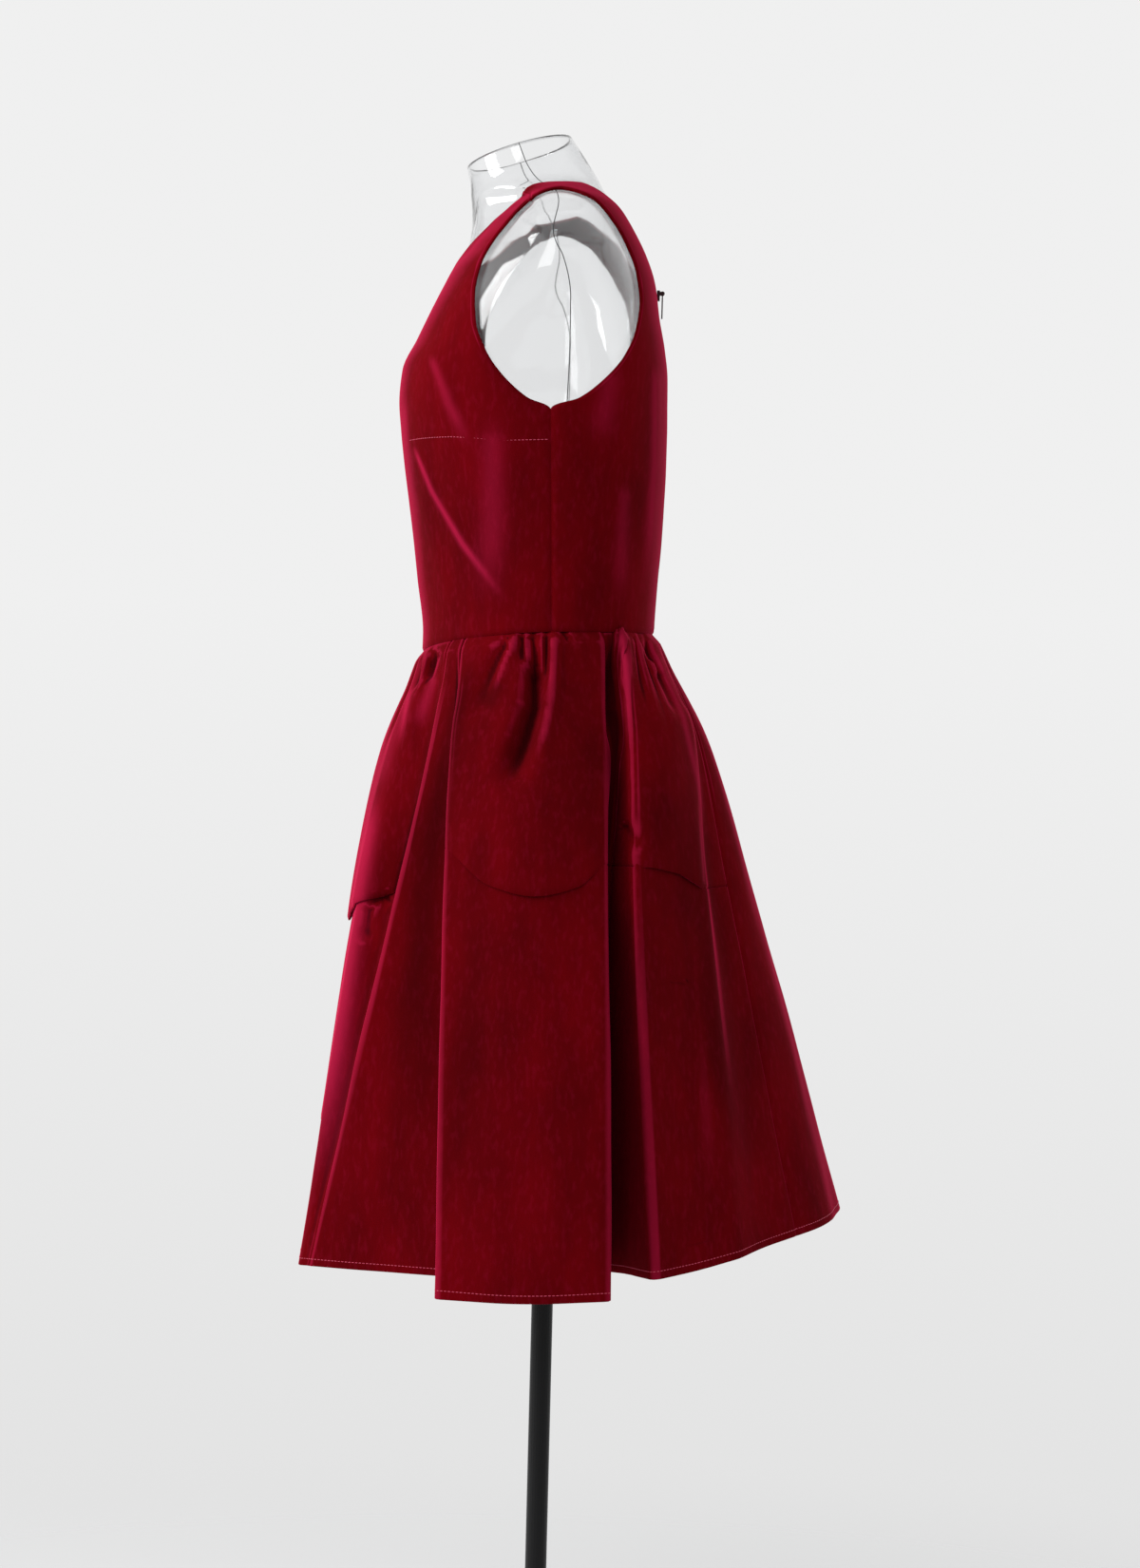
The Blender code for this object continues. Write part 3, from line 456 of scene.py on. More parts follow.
def folded_line(place, level):
    """A point of the folded line: straight between folds and rounded at each."""
    nearest = np.floor(place + 0.5).astype(int)
    before, here, after = (fold_point(nearest + step, level) for step in (-1, 0, 1))
    lengths = [np.linalg.norm(end - here, axis=-1) for end in (before, after)]
    reach = np.minimum(FOLD_CORNERS[fold_index(nearest)[0]], 0.45 * np.minimum(*lengths))
    share_before, share_after = reach / lengths[0], reach / lengths[1]
    offset = place - nearest
    to_before, to_after = unit(before - here), unit(after - here)
    start, end = here + to_before * reach[..., None], here + to_after * reach[..., None]
    t = np.clip((offset + share_before) / (share_before + share_after), 0, 1)[..., None]
    half = np.arccos(np.clip(np.sum(to_before * to_after, -1), -1, 1)) / 2
    half = np.minimum(half, 1.5)[..., None]
    centre = here + unit(to_before + to_after) * reach[..., None] / np.cos(half)
    sweep = np.pi - 2 * half
    arc = centre + ((start - centre) * np.sin((1 - t) * sweep) + (end - centre) * np.sin(t * sweep)) / np.sin(sweep)
    arc = np.where(half >= 1.5, start * (1 - t) + end * t, arc)
    straight = here + np.where(offset[..., None] >= 0, (after - here) * offset[..., None],
                               (here - before) * offset[..., None])
    bent = (offset < share_after) & (offset > -share_before)
    return np.where(bent[..., None], arc, straight)


def drape_line(place, level):
    """The folded line, drawn onto the waist seam's own curve at the top."""
    line = folded_line(place, level)
    low = np.floor(place).astype(int)
    first, second = fold_angle(low), fold_angle(low + 1)
    shift = waist_at(first + (second - first) * (place - low)) - folded_line(place, np.zeros_like(level))
    shift[..., 2] = -TOP_DROP
    return line + shift * (1 - smooth_step(level / WAIST_BLEND))[..., None]


def gather_depth(place, level):
    place = np.abs(place)
    place = np.where(place > LAST_FOLD, 2 * LAST_FOLD - place, place)
    depth = np.zeros_like(place)
    for gather in GATHERS:
        offset = np.clip((place - gather.place) / gather.width, -1, 1)
        rise = smooth_step(level / (0.22 * gather.reach))
        fade = 1 - smooth_step((level / gather.reach - 0.22) / 0.78)
        depth += gather.depth * 0.5 * (1 + np.cos(np.pi * offset)) * rise * fade
    return depth * MM


def skirt_point(place, level, outward):
    """A point of the middle of the skirt's cloth, moved outwards by a stated distance."""
    place, level = np.broadcast_arrays(place, level)
    around = drape_line(place + 0.02, level) - drape_line(place - 0.02, level)
    down = drape_line(place, np.minimum(level + 0.02, 1)) - drape_line(place, np.maximum(level - 0.02, 0))
    return drape_line(place, level) + unit(np.cross(down, around)) * (outward - gather_depth(place, level))[..., None]


# Grids of cloth: rows run from the top down, columns from the wearer's front to the back

def grid_normals(grid):
    down = np.gradient(grid, axis=0)
    across = np.gradient(grid, axis=1)
    return unit(np.cross(down, across))


def edge_distance(grid, side):
    """How far each point is from one edge of its grid, measured along the cloth."""
    axis = 0 if side in ("top", "bottom") else 1
    steps = np.linalg.norm(np.diff(grid, axis=axis), axis=-1)
    shape = list(grid.shape[:2])
    shape[axis] = 1
    along = np.concatenate([np.zeros(shape), np.cumsum(steps, axis=axis)], axis=axis)
    return along if side in ("top", "left") else np.take(along, [-1], axis=axis) - along


def stroke_field(across, heights, creases):
    """What a set of creases adds up to at each point, in the creases' own units of depth."""
    total = np.zeros_like(heights)
    points = np.stack([across, heights], -1)
    for crease in creases:
        path = np.array(crease.path) * MM
        lengths = np.linalg.norm(np.diff(path, axis=0), axis=1)
        starts = np.concatenate([[0], np.cumsum(lengths)])
        best = np.full(heights.shape, 1e9)
        along = np.zeros(heights.shape)
        for k, length in enumerate(lengths):
            step = path[k + 1] - path[k]
            t = np.clip(((points - path[k]) @ step) / length ** 2, 0, 1)
            gap = np.linalg.norm(points - (path[k] + t[..., None] * step), axis=-1)
            along = np.where(gap < best, (starts[k] + t * length) / starts[-1], along)
            best = np.minimum(best, gap)
        width = (crease.start_width + (crease.end_width - crease.start_width) * along) * MM
        strength = smooth_step(along / 0.12 + 0.35) * smooth_step((1 - along) / 0.45 + 0.1)
        total += crease.depth * strength * np.exp(-(best / width) ** 2)
    return total


def ripple(points, size, seed, stretch=(1, 1, 1)):
    """A smooth uneven field between about -1 and 1, the same at each run."""
    random = np.random.default_rng(seed)
    total = np.zeros(points.shape[:-1])
    for _ in range(9):
        direction = random.normal(size=3) / np.array(stretch)
        phase = random.uniform(0, 2 * np.pi)
        total += np.sin(points @ (direction * 2.2 / size) + phase)
    return total / 4.5


def roll_edges(grid, sides, depth=SEAM_ROLL, width=SEAM_ROLL_WIDTH):
    """Turns the cloth in at its seamed edges."""
    normals = grid_normals(grid)
    for side in sides:
        distance = edge_distance(grid, side)
        grid = grid - normals * (depth * (1 - smooth_step(distance / width)))[..., None]
    return grid


def tuck_top(grid):
    """Two rows more at the top, which slip under the bodice."""
    normals = grid_normals(grid)[0]
    inward = unit(normals * np.array([1.0, 1, 0]))
    up = np.array([0, 0, 1.0])
    under = grid[0] - inward * TUCK_IN + up * TUCK_RISE
    edge = grid[0] - inward * TUCK_IN * 0.8 + up * TUCK_RISE * 0.3
    grid = grid.copy()
    grid[0] -= inward * TUCK_IN * 0.25
    return np.concatenate([under[None], edge[None], grid])


def mirrored(grid):
    return (grid * np.array([-1.0, 1, 1]))[:, ::-1]


def both_halves(grid):
    """A left half whose first column is on the centre plane, joined to its mirror image."""
    return np.concatenate([mirrored(grid), grid[:, 1:]], axis=1)


# Making objects

def add_object(name, mesh, material, body=STAND):
    mesh.materials.append(material)
    made = bpy.data.objects.new(name, mesh)
    bpy.context.scene.collection.objects.link(made)
    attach(made, body)
    return made


def ridge_field(grid):
    """0 to 1 where the cloth bends outwards over a fold, and 0 to -1 where it bends in."""
    normals = grid_normals(grid)
    total = np.zeros(grid.shape[:2])
    for axis in (0, 1):
        before, after = np.roll(grid, 1, axis), np.roll(grid, -1, axis)
        spacing = np.maximum(np.linalg.norm(after - before, axis=-1) / 2, 0.5 * MM)
        bend = np.sum(normals * (2 * grid - before - after), -1) / spacing ** 2
        edge = [slice(None), slice(None)]
        for end in (0, 1, -1, -2):
            edge[axis] = end
            bend[tuple(edge)] = 0
            edge[axis] = slice(None)
        total += bend
    return np.clip(total / RIDGE_BEND, -1, 1)


def grid_mesh(name, grid, closed=False, painted_light=None):
    rows, columns = grid.shape[:2]
    index = np.arange(rows * columns).reshape(rows, columns)
    if closed:
        index = np.concatenate([index, index[:, :1]], axis=1)
    faces = np.stack([index[:-1, :-1], index[1:, :-1], index[1:, 1:], index[:-1, 1:]], -1).reshape(-1, 4)
    mesh = bpy.data.meshes.new(name)
    mesh.from_pydata(grid.reshape(-1, 3).tolist(), [], faces.tolist())
    mesh.shade_smooth()
    # The velvet's painted light: the bend of the cloth gives a painted highlight on folds and painted shade in
    # creases, and the listed paths give painted sheen streaks and painted shade
    if painted_light:
        away = smooth_step((np.abs(grid[..., 0]) - PAINTED_LIGHT_START) / PAINTED_LIGHT_FADE)
        painted_sheen_and_shade = stroke_field(grid[..., 1], grid[..., 2], painted_light) * away
        for label, field in (("ridge", ridge_field(grid)), ("painted_sheen_and_shade", painted_sheen_and_shade)):
            mesh.attributes.new(label, "FLOAT", "POINT").data.foreach_set("value", field.ravel())
    return mesh


def cloth(name, grid, material):
    """One panel of velvet with a real wall and rounded edges, in place of the CAD node of its name."""
    # Which painted highlights and painted shade this panel gets
    painted_light = BODICE_PAINTED_LIGHT if name.startswith("bodice") else SKIRT_PAINTED_LIGHT
    made = add_object(name + "_cloth", grid_mesh(name, grid, painted_light=painted_light), material)
    wall = made.modifiers.new("wall", "SOLIDIFY")
    wall.thickness = WALL
    wall.offset = 0
    edge = made.modifiers.new("edge", "BEVEL")
    edge.width = 0.6 * MM
    edge.segments = 2
    edge.limit_method = "ANGLE"
    edge.angle_limit = math.radians(55)
    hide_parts(name)
    return made


# Materials

VELVET_RED = (0.165, 0.0002, 0.003)
VELVET_DARK = (0.1, 0.0001, 0.002)
VELVET_SHADE = (0.022, 0.0001, 0.0007)
VELVET_PINK = (0.66, 0.016, 0.085)
VELVET_SHEEN = (0.95, 0.012, 0.1)
CLEAR_TINT = (0.97, 0.975, 0.98)
CLEAR_PAINTED_EDGE_SHADE = (0.5, 0.51, 0.53)
THREAD_PINK = (0.62, 0.1, 0.17)
COIL_RED = (0.2, 0.004, 0.012)
ZIP_DARK = (0.035, 0.012, 0.015)


def node_material(name, colour, roughness, metallic=0.0):
    made = bpy.data.materials.new(name)
    made.use_nodes = True
    shader = made.node_tree.nodes["Principled BSDF"]
    shader.inputs["Base Color"].default_value = (*colour, 1)
    shader.inputs["Roughness"].default_value = roughness
    shader.inputs["Metallic"].default_value = metallic
    return made, made.node_tree.nodes, made.node_tree.links, shader


def mix_colour(nodes, links, factor, first, second):
    """A colour mixed from two, each a colour or a socket."""
    mix = nodes.new("ShaderNodeMix")
    mix.data_type = "RGBA"
    links.new(factor, mix.inputs["Factor"])
    for socket, value in ((mix.inputs["A"], first), (mix.inputs["B"], second)):
        if isinstance(value, tuple):
            socket.default_value = (*value, 1)
        else:
            links.new(value, socket)
    return mix.outputs["Result"]


def mapped(nodes, links, value, low, high, to_low=0.0, to_high=1.0):
    scale = nodes.new("ShaderNodeMapRange")
    scale.inputs["From Min"].default_value = low
    scale.inputs["From Max"].default_value = high
    scale.inputs["To Min"].default_value = to_low
    scale.inputs["To Max"].default_value = to_high
    links.new(value, scale.inputs["Value"])
    return scale.outputs["Result"]


def velvet_material():
    made, nodes, links, shader = node_material("velvet", VELVET_RED, 0.9)
    shader.inputs["Sheen Weight"].default_value = 0.3
    shader.inputs["Sheen Roughness"].default_value = 0.3
    shader.inputs["Sheen Tint"].default_value = (*VELVET_SHEEN, 1)
    shader.inputs["Specular IOR Level"].default_value = 0.03
    place = nodes.new("ShaderNodeTexCoord")
    stretch = nodes.new("ShaderNodeMapping")
    stretch.inputs["Scale"].default_value = (1, 1, 0.35)
    links.new(place.outputs["Object"], stretch.inputs["Vector"])
    cloud = nodes.new("ShaderNodeTexNoise")
    cloud.inputs["Scale"].default_value = 19
    cloud.inputs["Detail"].default_value = 5
    cloud.inputs["Roughness"].default_value = 0.6
    links.new(stretch.outputs["Vector"], cloud.inputs["Vector"])
    colour = mix_colour(nodes, links, mapped(nodes, links, cloud.outputs["Fac"], 0.32, 0.68),
                        VELVET_DARK, VELVET_RED)
    flecks = nodes.new("ShaderNodeTexNoise")
    flecks.inputs["Scale"].default_value = 260
    flecks.inputs["Detail"].default_value = 3
    links.new(stretch.outputs["Vector"], flecks.inputs["Vector"])
    colour = mix_colour(nodes, links, mapped(nodes, links, flecks.outputs["Fac"], 0.5, 0.8, 0.0, 0.08),
                        colour, VELVET_PINK)
    # Painted highlight in pink over the outward bend of sharp folds, and painted shade in the inward bend of creases
    ridge = nodes.new("ShaderNodeAttribute")
    ridge.attribute_name = "ridge"
    colour = mix_colour(nodes, links, mapped(nodes, links, ridge.outputs["Fac"], 0.5, 1.0, 0.0, 0.26),
                        colour, VELVET_PINK)
    colour = mix_colour(nodes, links, mapped(nodes, links, ridge.outputs["Fac"], -0.15, -0.9, 0.0, 0.7),
                        colour, VELVET_SHADE)
    # Painted sheen streaks in pink and painted shade in dark, from the listed paths
    painted_sheen_and_shade = nodes.new("ShaderNodeAttribute")
    painted_sheen_and_shade.attribute_name = "painted_sheen_and_shade"
    colour = mix_colour(nodes, links, mapped(nodes, links, painted_sheen_and_shade.outputs["Fac"], 0.0, 1.0, 0.0, 0.5),
                        colour, VELVET_PINK)
    colour = mix_colour(nodes, links, mapped(nodes, links, painted_sheen_and_shade.outputs["Fac"], 0.0, -1.0, 0.0, 0.8),
                        colour, VELVET_SHADE)
    # Painted sheen: the base colour turns pink where the surface turns away from the view
    turned = nodes.new("ShaderNodeLayerWeight")
    turned.inputs["Blend"].default_value = 0.35
    colour = mix_colour(nodes, links, mapped(nodes, links, turned.outputs["Facing"], 0.55, 1.0, 0.0, 0.8),
                        colour, VELVET_PINK)
    links.new(colour, shader.inputs["Base Color"])
    pile = nodes.new("ShaderNodeTexNoise")
    pile.inputs["Scale"].default_value = 1700
    pile.inputs["Detail"].default_value = 2
    links.new(place.outputs["Object"], pile.inputs["Vector"])
    bump = nodes.new("ShaderNodeBump")
    bump.inputs["Strength"].default_value = 0.3
    bump.inputs["Distance"].default_value = 0.35 * MM
    links.new(pile.outputs["Fac"], bump.inputs["Height"])
    links.new(bump.outputs["Normal"], shader.inputs["Normal"])
    return made


def clear_material():
    made, nodes, links, shader = node_material("clear_plastic", CLEAR_TINT, 0.04)
    shader.inputs["Transmission Weight"].default_value = 1.0
    shader.inputs["IOR"].default_value = 1.49
    # Painted dark reflection: the plastic's colour turns grey where its surface turns away from the view
    turned = nodes.new("ShaderNodeLayerWeight")
    turned.inputs["Blend"].default_value = 0.3
    colour = mix_colour(nodes, links, mapped(nodes, links, turned.outputs["Facing"], 0.25, 1.0),
                        CLEAR_TINT, CLEAR_PAINTED_EDGE_SHADE)
    links.new(colour, shader.inputs["Base Color"])
    place = nodes.new("ShaderNodeTexCoord")
    waves = nodes.new("ShaderNodeTexNoise")
    waves.inputs["Scale"].default_value = 11
    waves.inputs["Detail"].default_value = 2
    links.new(place.outputs["Object"], waves.inputs["Vector"])
    bump = nodes.new("ShaderNodeBump")
    bump.inputs["Strength"].default_value = 0.5
    bump.inputs["Distance"].default_value = 4 * MM
    links.new(waves.outputs["Fac"], bump.inputs["Height"])
    links.new(bump.outputs["Normal"], shader.inputs["Normal"])
    return made


def black_material():
    made, nodes, links, shader = node_material("black_metal", (0.004, 0.004, 0.0045), 0.42)
    shader.inputs["Specular IOR Level"].default_value = 0.25
    grain = nodes.new("ShaderNodeTexNoise")
    grain.inputs["Scale"].default_value = 900
    bump = nodes.new("ShaderNodeBump")
    bump.inputs["Strength"].default_value = 0.12
    bump.inputs["Distance"].default_value = 0.0002
    links.new(grain.outputs["Fac"], bump.inputs["Height"])
    links.new(bump.outputs["Normal"], shader.inputs["Normal"])
    return made


def thread_material():
    made, nodes, links, shader = node_material("stitch_thread", THREAD_PINK, 0.55)
    twist = nodes.new("ShaderNodeTexNoise")
    twist.inputs["Scale"].default_value = 700
    links.new(mix_colour(nodes, links, twist.outputs["Fac"], THREAD_PINK, VELVET_PINK),
              shader.inputs["Base Color"])
    return made


def zip_metal_material():
    made, nodes, links, shader = node_material("zip_metal", ZIP_DARK, 0.35, 0.7)
    wear = nodes.new("ShaderNodeTexNoise")
    wear.inputs["Scale"].default_value = 350
    links.new(mapped(nodes, links, wear.outputs["Fac"], 0.3, 0.7, 0.25, 0.5), shader.inputs["Roughness"])
    return made


def coil_material():
    made, nodes, links, shader = node_material("zip_coil", COIL_RED, 0.4)
    tone = nodes.new("ShaderNodeTexNoise")
    tone.inputs["Scale"].default_value = 500
    links.new(mix_colour(nodes, links, tone.outputs["Fac"], COIL_RED, VELVET_DARK), shader.inputs["Base Color"])
    return made


def line_material():
    made, nodes, links, shader = node_material("mould_line", (0.03, 0.03, 0.032), 0.4)
    fade = nodes.new("ShaderNodeTexNoise")
    fade.inputs["Scale"].default_value = 60
    links.new(mix_colour(nodes, links, fade.outputs["Fac"], (0.012, 0.012, 0.014), (0.07, 0.07, 0.075)),
              shader.inputs["Base Color"])
    return made


# The bodice

def bodice_grid(table, back):
    """The left half of a bodice panel. Columns run from the front to the back."""
    rows = np.linspace(len(table) - 1, 0, int(BODICE_LENGTH / BODICE_GRID))
    inner_x = row_value(table, "inner_x", rows)
    inner_level, inner_angle = place_on_centre(inner_x, row_value(table, "inner_z", rows), back)
    if back:
        end_level, end_angle = place_on_centre(FRONT_ROWS[-1].inner_x, FRONT_ROWS[-1].inner_z, False)
        near_seam = smooth_step(rows - (len(table) - 2))
        inner_level = inner_level + (end_level - inner_level) * near_seam
        inner_angle = inner_angle + (end_angle - inner_angle) * near_seam
    outer_level, outer_angle = place_on_side(row_value(table, "outer_y", rows), row_value(table, "outer_z", rows))
    share = np.linspace(0, 1, int(BODICE_HALF_WIDTH / BODICE_GRID))[None]
    level = inner_level[:, None] + (outer_level - inner_level)[:, None] * share
    angle = inner_angle[:, None] + (outer_angle - inner_angle)[:, None] * share
    grid = bodice_point(level, angle)
    if back:
        grid[:, 0, 0] = np.maximum(grid[:, 0, 0], ZIP_HALF_WIDTH + SEAM_GAP)
        return grid[:, ::-1]
    grid[:, 0, 0] = np.where(inner_x == 0, 0, grid[:, 0, 0])
    return grid


def dress_bodice(grid, sides):
    depth = stroke_field(grid[..., 1], grid[..., 2], BODICE_CREASES) * MM
    depth = depth * smooth_step((grid[..., 0] - 25 * MM) / (30 * MM))
    depth += 0.45 * MM * ripple(grid, 60 * MM, 5, (1, 1, 2.0))
    return roll_edges(grid + grid_normals(grid) * depth[..., None], sides)


def bodice(material):
    front = dress_bodice(bodice_grid(FRONT_ROWS, False), ("top", "right", "bottom"))
    made = cloth("bodice_front", front, material)
    mirror = made.modifiers.new("other_half", "MIRROR")
    mirror.merge_threshold = 0.00005
    made.modifiers.move(len(made.modifiers) - 1, 0)
    back = dress_bodice(bodice_grid(BACK_ROWS, True), ("top", "left", "bottom", "right"))
    cloth("bodice_back_left", back, material)
    cloth("bodice_back_right", mirrored(back), material)
    return front


# The skirt's panels

def spaced_places(first, last, step):
    """Places across a panel, evenly apart on the cloth at mid-length."""
    fine = np.linspace(first, last, 1600)
    line = drape_line(fine, np.full_like(fine, 0.6))
    along = np.concatenate([[0], np.cumsum(np.linalg.norm(np.diff(line, axis=0), axis=1))])
    count = max(8, int(along[-1] / step))
    return np.interp(np.linspace(0, along[-1], count + 1), along, fine)


def seam_level(seam, place):
    return curve_value([c.place for c in seam], [c.level for c in seam], np.abs(place))


def dress_skirt(grid, levels):
    """Creases, tucks and the unevenness of real cloth, over the folded panels."""
    normals = grid_normals(grid)
    across, heights = grid[..., 1], grid[..., 2]
    on_side = smooth_step((np.abs(grid[..., 0]) - 45 * MM) / (22 * MM))
    depth = stroke_field(across, heights, SIDE_CREASES) * MM * on_side
    depth = np.maximum(depth, -np.maximum(WAIST_ROOM + ROOM_SLOPE * (WAIST_Z - heights), WAIST_ROOM))
    rise = smooth_step(levels / (0.25 * PUFF_REACH)) * (1 - smooth_step(levels / PUFF_REACH))
    flat = grid * np.array([1.0, 1, 0.12])
    depth += rise * (PUFF + RUCK * ripple(flat, RUCK_SIZE, 3))
    depth += 1.4 * MM * ripple(grid, 80 * MM, 11, (1, 1, 3.2)) * smooth_step((levels - 0.08) / 0.12)
    depth += 0.5 * MM * ripple(grid, 26 * MM, 12, (1, 1, 2.0)) * smooth_step((levels - 0.08) / 0.12)
    return grid + normals * depth[..., None]


def pocket_panel(name, seam, first, last, edges, halved=False):
    """The gathered upper piece and the long lower piece of one panel, as names and grids."""
    whole = round(last)
    length = float(np.linalg.norm(fold_point(np.array(whole), np.array(0.0))
                                  - fold_point(np.array(whole), np.array(1.0))))
    places = spaced_places(first, last, SKIRT_GRID)[None]

    def inside(start, stop):
        nearest = edges[1] - places if halved else np.minimum(places - edges[0], edges[1] - places)
        return smooth_step((nearest + start) / (start - stop))

    share = np.clip((places - edges[0]) / (edges[1] - edges[0]), 0, 1)
    puff = POCKET_PUFF * np.sin(np.pi * (smooth_step(share * 0.5 + 0.5) if halved else share))
    lip = POCKET_LIP * (inside(LIP_START, LIP_FULL) if halved else inside(0, -LIP_START))
    overlap = POCKET_OVERLAP / length * inside(LIP_FULL, -LIP_FULL)
    bottom = seam_level(seam, places)
    down = np.linspace(0, 1, int(length * 0.4 / SKIRT_GRID) + 1)[:, None]
    outward = lip * smooth_step((down - 0.5) / 0.5) + puff * np.sin(np.pi * down)
    upper = skirt_point(places, bottom * down, outward)
    upper = tuck_top(dress_skirt(upper, bottom * down))
    down = np.linspace(0, 1, int(length * 0.62 / SKIRT_GRID) + 1)[:, None]
    level = bottom - overlap + (1 - bottom + overlap) * down
    lower = dress_skirt(skirt_point(places, level, np.zeros_like(level)), level)
    made = []
    for part, grid, sides in (("_upper", upper, ["bottom", "right"]), ("_lower", lower, ["right"])):
        if halved:
            grid[:, 0, 0] = 0
            grid = both_halves(grid)
        made.append((name + part, roll_edges(grid, sides + ["left"])))
    return made


def plain_panel(name, first, last):
    places = spaced_places(first, last, SKIRT_GRID)[None]
    level = np.linspace(0, 1, int(SKIRT_LENGTH / SKIRT_GRID) + 1)[:, None] + 0 * places
    grid = tuck_top(dress_skirt(skirt_point(places, level, np.zeros_like(level)), level))
    return [(name, roll_edges(grid, ("left", "right")))]


def skirt(material):
    """Every panel of the skirt. Returns the grids that end at the hem."""
    front_seam, gore_seam, deep_seam, back_seam = (
        FOLD_AT[name] + 0.5 for name in ("front_groove", "gore_valley", "deep_valley", "back_valley"))
    side_edges = FOLD_AT["side_front_edge"], FOLD_AT["side_back_edge"]
    back_edges = FOLD_AT["back_panel_edge"], FOLD_AT["back_ridge"]
    panels = pocket_panel("skirt_front", FRONT_SEAM, 0, front_seam,
                          (0, FOLD_AT["front_groove"] - 0.3), halved=True)
    left = (plain_panel("skirt_gore_left", front_seam, gore_seam)
            + pocket_panel("skirt_side_left", SIDE_SEAM, gore_seam, deep_seam, side_edges)
            + pocket_panel("skirt_back_left", BACK_SEAM, deep_seam, back_seam, back_edges)
            + plain_panel("skirt_centre_back_left", back_seam, FOLD_AT["centre_back"]))
    panels += left + [(name.replace("left", "right"), mirrored(grid)) for name, grid in left]
    for name, grid in panels:
        cloth(name, grid, material)
    return [grid for name, grid in panels if not name.endswith("_upper")]


# Thread, lines and zip coils

def surface_path(grid, row):
    """The outer side of the cloth along one row of its grid."""
    return grid[row] + grid_normals(grid)[row] * (WALL / 2)


def row_above_hem(grid):
    distance = edge_distance(grid, "bottom").mean(axis=1)
    return int(np.argmin(np.abs(distance - HEM_DEPTH)))


def resampled(path, step):
    along = np.concatenate([[0], np.cumsum(np.linalg.norm(np.diff(path, axis=0), axis=1))])
    at = np.arange(step / 2, along[-1], step)
    return np.stack([np.interp(at, along, path[:, axis]) for axis in range(3)], -1)


def capsules(name, starts, ends, radius, material, sides=6):
    """Short rods with pointed ends, joined into one piece."""
    axis = unit(ends - starts)
    across = unit(np.cross(axis, np.array([0.31, 0.2, 0.93])))
    third = np.cross(axis, across)
    turn = np.linspace(0, 2 * np.pi, sides, endpoint=False)
    ring = (across[:, None] * np.cos(turn)[:, None] + third[:, None] * np.sin(turn)[:, None]) * radius
    middle = (starts + ends)[:, None] / 2
    length = (ends - starts)[:, None]
    rings = [starts[:, None] + 0 * ring + ring * 0.35, middle - length * 0.3 + ring,
             middle + length * 0.3 + ring, ends[:, None] + 0 * ring + ring * 0.35]
    points = np.concatenate(rings, axis=1)
    faces = []
    for k in range(len(starts)):
        first = k * 4 * sides
        for level in range(3):
            low = first + level * sides
            faces += [(low + j, low + (j + 1) % sides, low + sides + (j + 1) % sides, low + sides + j)
                      for j in range(sides)]
        faces.append(tuple(first + j for j in reversed(range(sides))))
        faces.append(tuple(first + 3 * sides + j for j in range(sides)))
    mesh = bpy.data.meshes.new(name)
    mesh.from_pydata(points.reshape(-1, 3).tolist(), [], faces)
    mesh.shade_smooth()
    return add_object(name, mesh, material)


def stitches(name, paths, material):
    starts, ends = [], []
    for path in paths:
        points = resampled(path, STITCH_LENGTH + STITCH_GAP)
        heading = unit(np.gradient(points, axis=0))
        starts.append(points - heading * STITCH_LENGTH / 2)
        ends.append(points + heading * STITCH_LENGTH / 2)
    made = capsules(name, np.concatenate(starts), np.concatenate(ends), STITCH_RADIUS, material)


def tube(name, path, radius, material, sides=8):
    heading = unit(np.gradient(path, axis=0))
    across = unit(np.cross(heading, np.array([0.9, 0.1, 0.2])))
    third = np.cross(heading, across)
    turn = np.linspace(0, 2 * np.pi, sides, endpoint=False)
    ring = across[:, None] * np.cos(turn)[:, None] + third[:, None] * np.sin(turn)[:, None]
    made = add_object(name, grid_mesh(name, path[:, None] + ring * radius, closed=True), material)
    return made


def on_bodice(points):
    """Places on the outer side of the bodice's front, from (y, z) in millimetres."""
    path = resampled(np.array([(0, y, z) for y, z in points]) * MM, 2 * MM)
    level, angle = place_on_side(path[:, 1] / MM, path[:, 2] / MM)
    point = body_point(level, angle)
    return point + body_normal(level, angle) * (ease(point[..., 2:]) + WALL)


def darts(material):
    path = on_bodice(DART)
    stitches("dart_stitches", [path, path * np.array([-1.0, 1, 1])], material)


def mould_lines(material):
    levels = np.linspace(0, len(BODY) - 1, 260)
    angles = curve_value([level for level, angle in MOULD_LINE], [angle for level, angle in MOULD_LINE], levels)
    path = body_point(levels, angles)
    for side, name in ((1.0, "mould_line_left"), (-1.0, "mould_line_right")):
        tube(name, path * np.array([side, 1, 1]), MOULD_LINE_RADIUS, material)


def zip_coils(material):
    """Two rows of coil turns along the zip's closed chain."""
    heights = np.arange(CENTRE_BACK_Z, SLIDER_HEIGHT - 6 * MM, COIL_PITCH)
    level, angle = place_on_centre(np.zeros_like(heights), heights / MM, True)
    point = body_point(level, angle)
    point = point + body_normal(level, angle) * (ease(point[..., 2:]) + WALL)
    starts, ends = [], []
    for side in (-1, 1):
        shift = np.array([0, 0, COIL_PITCH / 2 if side > 0 else 0])
        starts.append(point + shift + np.array([side * 1.7 * MM, 0, 0]))
        ends.append(point + shift + np.array([-side * 0.35 * MM, 0, 0]))
    made = capsules("zip_coils", np.concatenate(starts), np.concatenate(ends), 0.42 * MM, material)


# The dress form

def dress_form(material):
    level = np.linspace(len(BODY) - 1, 0, 170)[:, None]
    angle = np.linspace(0, 360, 144, endpoint=False)[None]
    grid = body_point(level, angle) - body_normal(level, angle) * FORM_WALL / 2
    made = add_object("form_torso_shell", grid_mesh("form_torso_shell", grid[:, ::-1], closed=True), material)
    wall = made.modifiers.new("wall", "SOLIDIFY")
    wall.thickness = FORM_WALL
    wall.offset = 0
    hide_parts("form_torso")


def keep_nodes(material, names):
    for name in names:
        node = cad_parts[name]
        node.data.materials.clear()
        node.data.materials.append(material)


# Stage, light and camera

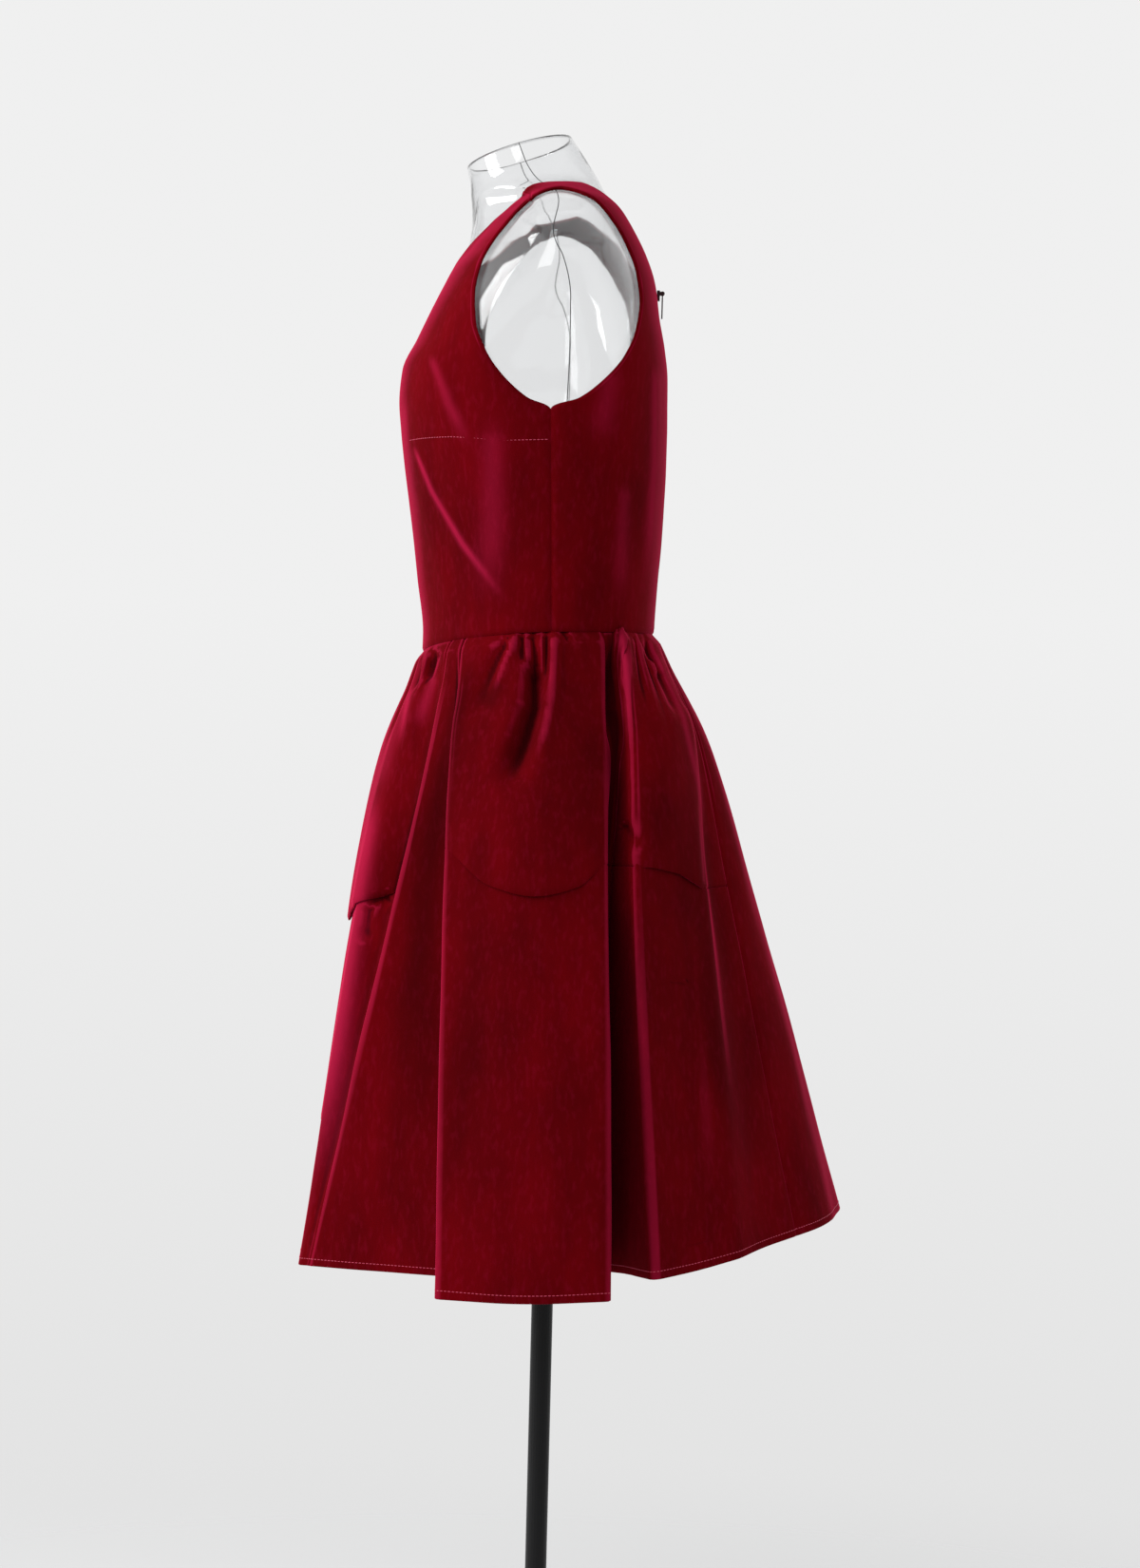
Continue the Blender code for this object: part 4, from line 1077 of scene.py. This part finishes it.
def stage_floor():
    """A pale round floor that fades into the background."""
    shape = bmesh.new()
    bmesh.ops.create_circle(shape, cap_ends=True, segments=96, radius=FLOOR_RADIUS)
    mesh = bpy.data.meshes.new("floor")
    shape.to_mesh(mesh)
    shape.free()
    material, nodes, links, shader = node_material("floor", (0.82, 0.825, 0.83), 0.9)
    place = nodes.new("ShaderNodeTexCoord")
    distance = nodes.new("ShaderNodeVectorMath")
    distance.operation = "LENGTH"
    links.new(place.outputs["Object"], distance.inputs[0])
    fade = nodes.new("ShaderNodeMapRange")
    fade.interpolation_type = "SMOOTHSTEP"
    fade.inputs["From Min"].default_value = 0.25 * FLOOR_RADIUS
    fade.inputs["From Max"].default_value = FLOOR_RADIUS
    links.new(distance.outputs["Value"], fade.inputs["Value"])
    clear = nodes.new("ShaderNodeBsdfTransparent")
    blend = nodes.new("ShaderNodeMixShader")
    links.new(fade.outputs["Result"], blend.inputs["Fac"])
    links.new(shader.outputs["BSDF"], blend.inputs[1])
    links.new(clear.outputs["BSDF"], blend.inputs[2])
    links.new(blend.outputs["Shader"], nodes["Material Output"].inputs["Surface"])
    mesh.materials.append(material)
    floor = bpy.data.objects.new("floor", mesh)
    floor.location.z = -FLOOR_DROP
    bpy.context.scene.collection.objects.link(floor)


def area_light(name, place, target, size, power, colour=(1, 1, 1)):
    data = bpy.data.lights.new(name, "AREA")
    data.shape = "RECTANGLE"
    data.size, data.size_y = size
    data.energy = power
    data.color = colour
    lamp = bpy.data.objects.new(name, data)
    lamp.location = place
    lamp.rotation_mode = "QUATERNION"
    lamp.rotation_quaternion = (Vector(target) - Vector(place)).to_track_quat("-Z", "Y")
    bpy.context.scene.collection.objects.link(lamp)


def lights():
    """A bright studio wall behind the dress, a dimmer room on the camera's side, and two soft boxes."""
    world = bpy.data.worlds.new("studio")
    world.use_nodes = True
    nodes, links = world.node_tree.nodes, world.node_tree.links
    place = nodes.new("ShaderNodeTexCoord")
    parts = nodes.new("ShaderNodeSeparateXYZ")
    links.new(place.outputs["Generated"], parts.inputs["Vector"])
    towards = nodes.new("ShaderNodeVectorMath")
    towards.operation = "DOT_PRODUCT"
    towards.inputs[1].default_value = DIM_SIDE
    links.new(place.outputs["Generated"], towards.inputs[0])
    tone = mapped(nodes, links, towards.outputs["Value"], -0.6, 0.8, BACKGROUND, ROOM)
    low = mapped(nodes, links, parts.outputs["Z"], -0.3, 0.05, 0.84, 1.0)
    shade = nodes.new("ShaderNodeMath")
    shade.operation = "MULTIPLY"
    links.new(tone, shade.inputs[0])
    links.new(low, shade.inputs[1])
    links.new(shade.outputs["Value"], nodes["Background"].inputs["Color"])
    bpy.context.scene.world = world
    area_light("key", (0.7, -2.9, 2.0), (0, 0, 0.95), (1.3, 1.9), 62)
    area_light("fill", (2.9, -0.9, 2.3), (0, 0, 0.95), (1.0, 1.5), 12)


FLOOR_RADIUS = 1.6
FLOOR_DROP = 0.5 * MM
BACKGROUND = 0.87
ROOM = 0.48
DIM_SIDE = (0.86, 0.5, 0.0)

CAMERA_PLACE = (3.1, 0.0132, 0.90)
CAMERA_ROLL = math.radians(-1.43)


def camera():
    data = bpy.data.cameras.new("camera")
    data.lens = 80
    data.sensor_width = 36
    made = bpy.data.objects.new("camera", data)
    made.location = CAMERA_PLACE
    made.rotation_mode = "XYZ"
    made.rotation_euler = (math.pi / 2, CAMERA_ROLL, math.pi / 2)
    bpy.context.scene.collection.objects.link(made)
    bpy.context.scene.camera = made


VELVET = velvet_material()
BLACK = black_material()
dress_form(clear_material())
keep_nodes(BLACK, ("form_plate", "form_socket", "pole", "base_plate", "base_collar"))
keep_nodes(zip_metal_material(), ("zip_slider", "zip_pull"))
keep_nodes(VELVET, ("zip_chain",))
THREAD = thread_material()
bodice(VELVET)
HEM_GRIDS = skirt(VELVET)
stitches("hem_stitches", [surface_path(grid, row_above_hem(grid)) for grid in HEM_GRIDS], THREAD)
darts(THREAD)
mould_lines(line_material())
zip_coils(coil_material())
stage_floor()
lights()
camera()
bpy.context.scene.view_settings.view_transform = "Standard"
